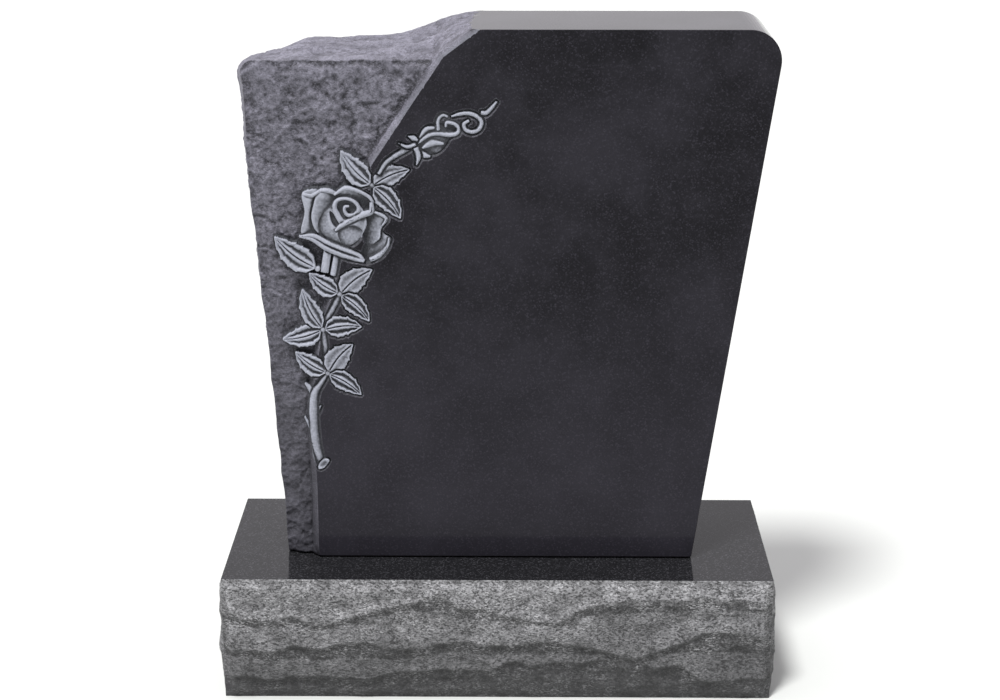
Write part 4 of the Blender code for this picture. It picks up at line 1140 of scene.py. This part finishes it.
def pitched_side(width, height, columns, rows, bulge, margin, seed):
    """How far a pitched side stands out, from nothing at its arrises to its bulge: it
    swells down to an uneven brow, is undercut below it, and bowls and chips are laid over.
    Also its painted light and shade: paler on crests, where it faces up and along its arrises,
    darker in hollows and where it faces down."""
    s, t = np.meshgrid(np.linspace(0, width, columns), np.linspace(0, height, rows))
    warp_s = s + 0.014 * grain(s, t, 0.05, seed)
    warp_t = t + 0.008 * grain(s, t, 0.05, seed + 1) + 0.12 * warp_s
    rough = 0.30 * scallops(warp_s * 0.42, warp_t, 0.046, seed + 2)
    rough = rough + 0.16 * scallops(warp_s * 0.55, warp_t, 0.020, seed + 5)
    rough = rough + 0.10 * scallops(s * 0.7, t, 0.009, seed + 8)
    rough = rough + 0.05 * grain(s, t, 0.004, seed + 11)

    swell = np.zeros_like(s)
    for count, (level, stand) in enumerate(BROWS):
        own = seed + 13 + 3 * count
        wander = ripples(s, [(0.15, 0.17, own), (0.04, 0.04, own + 1)])
        brow = height * np.clip(level + wander, 0.12, 0.9)
        way = np.where(t > brow, (height - t) / (height - brow), 1 + (brow - t) / brow)
        stand = stand + ripples(s, [(0.10, 0.13, own + 2)])
        swell = np.maximum(swell, stand * np.interp(way, *BROW_PROFILE))

    edge = np.minimum(np.minimum(s, width - s), np.minimum(t, height - t))
    ease = 0.8 * smooth(edge / margin) + 0.2 * smooth(edge / (3 * margin))
    out = bulge * np.clip(ease * (SWELL_SHARE * swell + ROUGH_SHARE * rough), 0.0, 1.0)
    # Painted light and shade by slope: paler where the side faces up, darker where it faces down
    painted_facing_light = np.gradient(-PAINTED_FACING_LIGHT * bulge * swell, height / (rows - 1), axis=0)
    pale = np.clip(painted_facing_light, PAINTED_FACING_LOW, PAINTED_FACING_HIGH)
    # Painted light on crests and painted shade in hollows
    for cells, full, share in SIDE_PAINTED_SHADE:
        pale = pale + share * crests(out, cells, full)
    # Painted highlight along the arrises
    return out, pale + ARRIS_PAINTED_HIGHLIGHT * smooth(2.0 - edge / ARRIS_WIDTH)


class MEMORIAL_OT_base(bpy.types.Operator):
    """Make the pitched base block"""

    bl_idname = "memorial.base"
    bl_label = "Pitched Base"

    def execute(self, context):
        scene = context.scene
        sizes, colours = scene.memorial_base, scene.memorial_colours
        half_x, half_y, height = sizes.width / 2, sizes.depth / 2, BASE_HIGH[2]
        bulge_x, bulge_y = BASE_HIGH[0] - half_x, -BASE_LOW[1] - half_y
        rows = round(height / sizes.spacing) + 1
        sides = [
            ((-half_x, -half_y), (1, 0), sizes.width, bulge_y, 31),
            ((half_x, -half_y), (0, 1), sizes.depth, bulge_x, 131),
            ((half_x, half_y), (-1, 0), sizes.width, bulge_y, 231),
            ((-half_x, half_y), (0, -1), sizes.depth, bulge_x, 331),
        ]
        walls, crest = [], []
        for corner, along, width, bulge, seed in sides:
            columns = round(width / sizes.spacing) + 1
            out, pale = pitched_side(width, height, columns, rows, bulge, sizes.margin, seed)
            # Painted light and shade of this side, carried in the crest mask
            crest.append(0.5 + pale[:, :-1])
            run = np.linspace(0, width, columns)[None, :]
            x = corner[0] + along[0] * run + along[1] * out
            y = corner[1] + along[1] * run - along[0] * out
            z = np.broadcast_to(np.linspace(0, height, rows)[:, None], out.shape)
            walls.append(np.dstack([x, y, z])[:, :-1])
        grid = np.concatenate(walls, axis=1)
        number = np.arange(grid.shape[0] * grid.shape[1]).reshape(grid.shape[:2])
        faces = quads(np.column_stack([number, number[:, 0]]))
        # The crest mask carries the sides' painted light and shade
        masks = {"crest": np.concatenate(crest, axis=1).ravel()}
        caps = [number[-1], number[0][::-1]]
        broken = np.append(np.full(len(faces), True), [False, True])
        item = solid("base_stone", grid.reshape(-1, 3), faces, caps, masks, broken)
        thinned(item, [
            polished_finish("base_polished", colours.base_top, 1.3, 0.15, 11.0),
            pitched_finish("base_pitched", colours.base_sides, None, (0.0, height), 1.0),
        ], sizes.faces)
        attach(item, "root")
        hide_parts("base")
        return {"FINISHED"}


class MEMORIAL_OT_bed(bpy.types.Operator):
    """Give the setting bed its finish"""

    bl_idname = "memorial.bed"
    bl_label = "Setting Bed"

    def execute(self, context):
        colour = context.scene.memorial_colours.bed
        finish = Finish("setting_bed_compound", 0.75)
        finish.colour(finish.mix(finish.noise(0.006), shade(colour, 0.6), shade(colour, 1.6)))
        finish.bump(finish.noise(0.002), 0.0004)
        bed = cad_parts["setting_bed"]
        if not bed.material_slots:
            bed.data.materials.append(finish.material)
        for slot in bed.material_slots:
            slot.material = finish.material
        return {"FINISHED"}


def studio_light(strength):
    """Soft surrounding light: brightest above, behind and to the left, dim in front."""
    world = bpy.data.worlds.new("studio")
    world.use_nodes = True
    sky = Nodes(world.node_tree)
    way = sky.node("ShaderNodeTexCoord", {}, {}).outputs["Generated"]
    lean = sky.node("ShaderNodeVectorMath", {"operation": "DOT_PRODUCT"},
                    {0: way, 1: BRIGHT_SIDE})
    fade = sky.node("ShaderNodeMapRange", {}, {
        "Value": lean.outputs["Value"], "From Min": BRIGHT_RANGE[0],
        "From Max": BRIGHT_RANGE[1], "To Min": DIMMEST * strength, "To Max": strength})
    light = sky.tree.nodes["Background"].inputs
    sky.join(light["Strength"], fade.outputs[0])
    sky.join(light["Color"], SKY_COLOUR)
    return world


class MEMORIAL_OT_stage(bpy.types.Operator):
    """Set up the floor, the light and the camera"""

    bl_idname = "memorial.stage"
    bl_label = "Stage"

    def execute(self, context):
        scene = context.scene
        stage = scene.memorial_stage
        corners = [(-1, -1), (1, -1), (1, 1), (-1, 1)]
        places = [(FLOOR_REACH * x, FLOOR_REACH * y, 0.0) for x, y in corners]
        mesh = bpy.data.meshes.new("floor")
        mesh.from_pydata(places, [], [(0, 1, 2, 3)])
        floor = bpy.data.objects.new("floor", mesh)
        context.collection.objects.link(floor)
        finish = Finish("floor_paint", 0.6)
        finish.colour(shade(FLOOR_TINT, stage.floor))
        finish.shader.inputs["Specular IOR Level"].default_value = 0.1
        mesh.materials.append(finish.material)

        key = bpy.data.lights.new("key", "SUN")
        key.energy = stage.key
        key.angle = math.radians(KEY_WIDTH)
        lamp = bpy.data.objects.new("key", key)
        lamp.rotation_euler = [math.radians(turn) for turn in KEY_TURN]
        context.collection.objects.link(lamp)
        scene.world = studio_light(stage.fill)

        camera = bpy.data.cameras.new("camera")
        camera.sensor_width = 36.0
        camera.lens = stage.lens
        camera.shift_y = stage.shift
        eye = bpy.data.objects.new("camera", camera)
        eye.location = stage.eye
        eye.rotation_euler = (math.pi / 2 - stage.pitch, 0.0, stage.yaw)
        context.collection.objects.link(eye)
        scene.camera = eye
        scene.view_settings.view_transform = "Standard"
        return {"FINISHED"}


class MEMORIAL_PT_panel(bpy.types.Panel):
    """The memorial's pieces and settings"""

    bl_idname = "MEMORIAL_PT_panel"
    bl_label = "Memorial"
    bl_space_type = "VIEW_3D"
    bl_region_type = "UI"
    bl_category = "Memorial"

    def draw(self, context):
        column = self.layout.column()
        for operator in OPERATORS:
            column.operator(operator.bl_idname)
        for name in SETTINGS:
            group = getattr(context.scene, name)
            for key in group.__annotations__:
                column.prop(group, key)


SETTINGS = {
    "memorial_block": TabletSizes,
    "memorial_pitched": PitchedSizes,
    "memorial_branch": BranchSizes,
    "memorial_base": BaseSizes,
    "memorial_colours": StoneColours,
    "memorial_stage": StageSettings,
}
OPERATORS = [MEMORIAL_OT_tablet, MEMORIAL_OT_base, MEMORIAL_OT_bed, MEMORIAL_OT_stage]
CLASSES = list(SETTINGS.values()) + OPERATORS + [MEMORIAL_PT_panel]


def register():
    """Register every class and keep the settings on the scene."""
    for item in CLASSES:
        bpy.utils.register_class(item)
    for name, group in SETTINGS.items():
        setattr(bpy.types.Scene, name, PointerProperty(type=group))


def unregister():
    """Take it all away again."""
    for name in SETTINGS:
        delattr(bpy.types.Scene, name)
    for item in reversed(CLASSES):
        bpy.utils.unregister_class(item)


def main():
    """Make every piece and the stage, and keep both boxes."""
    register()
    bpy.ops.memorial.tablet()
    bpy.ops.memorial.base()
    bpy.ops.memorial.bed()
    bpy.ops.memorial.stage()


if __name__ == "__main__":
    main()
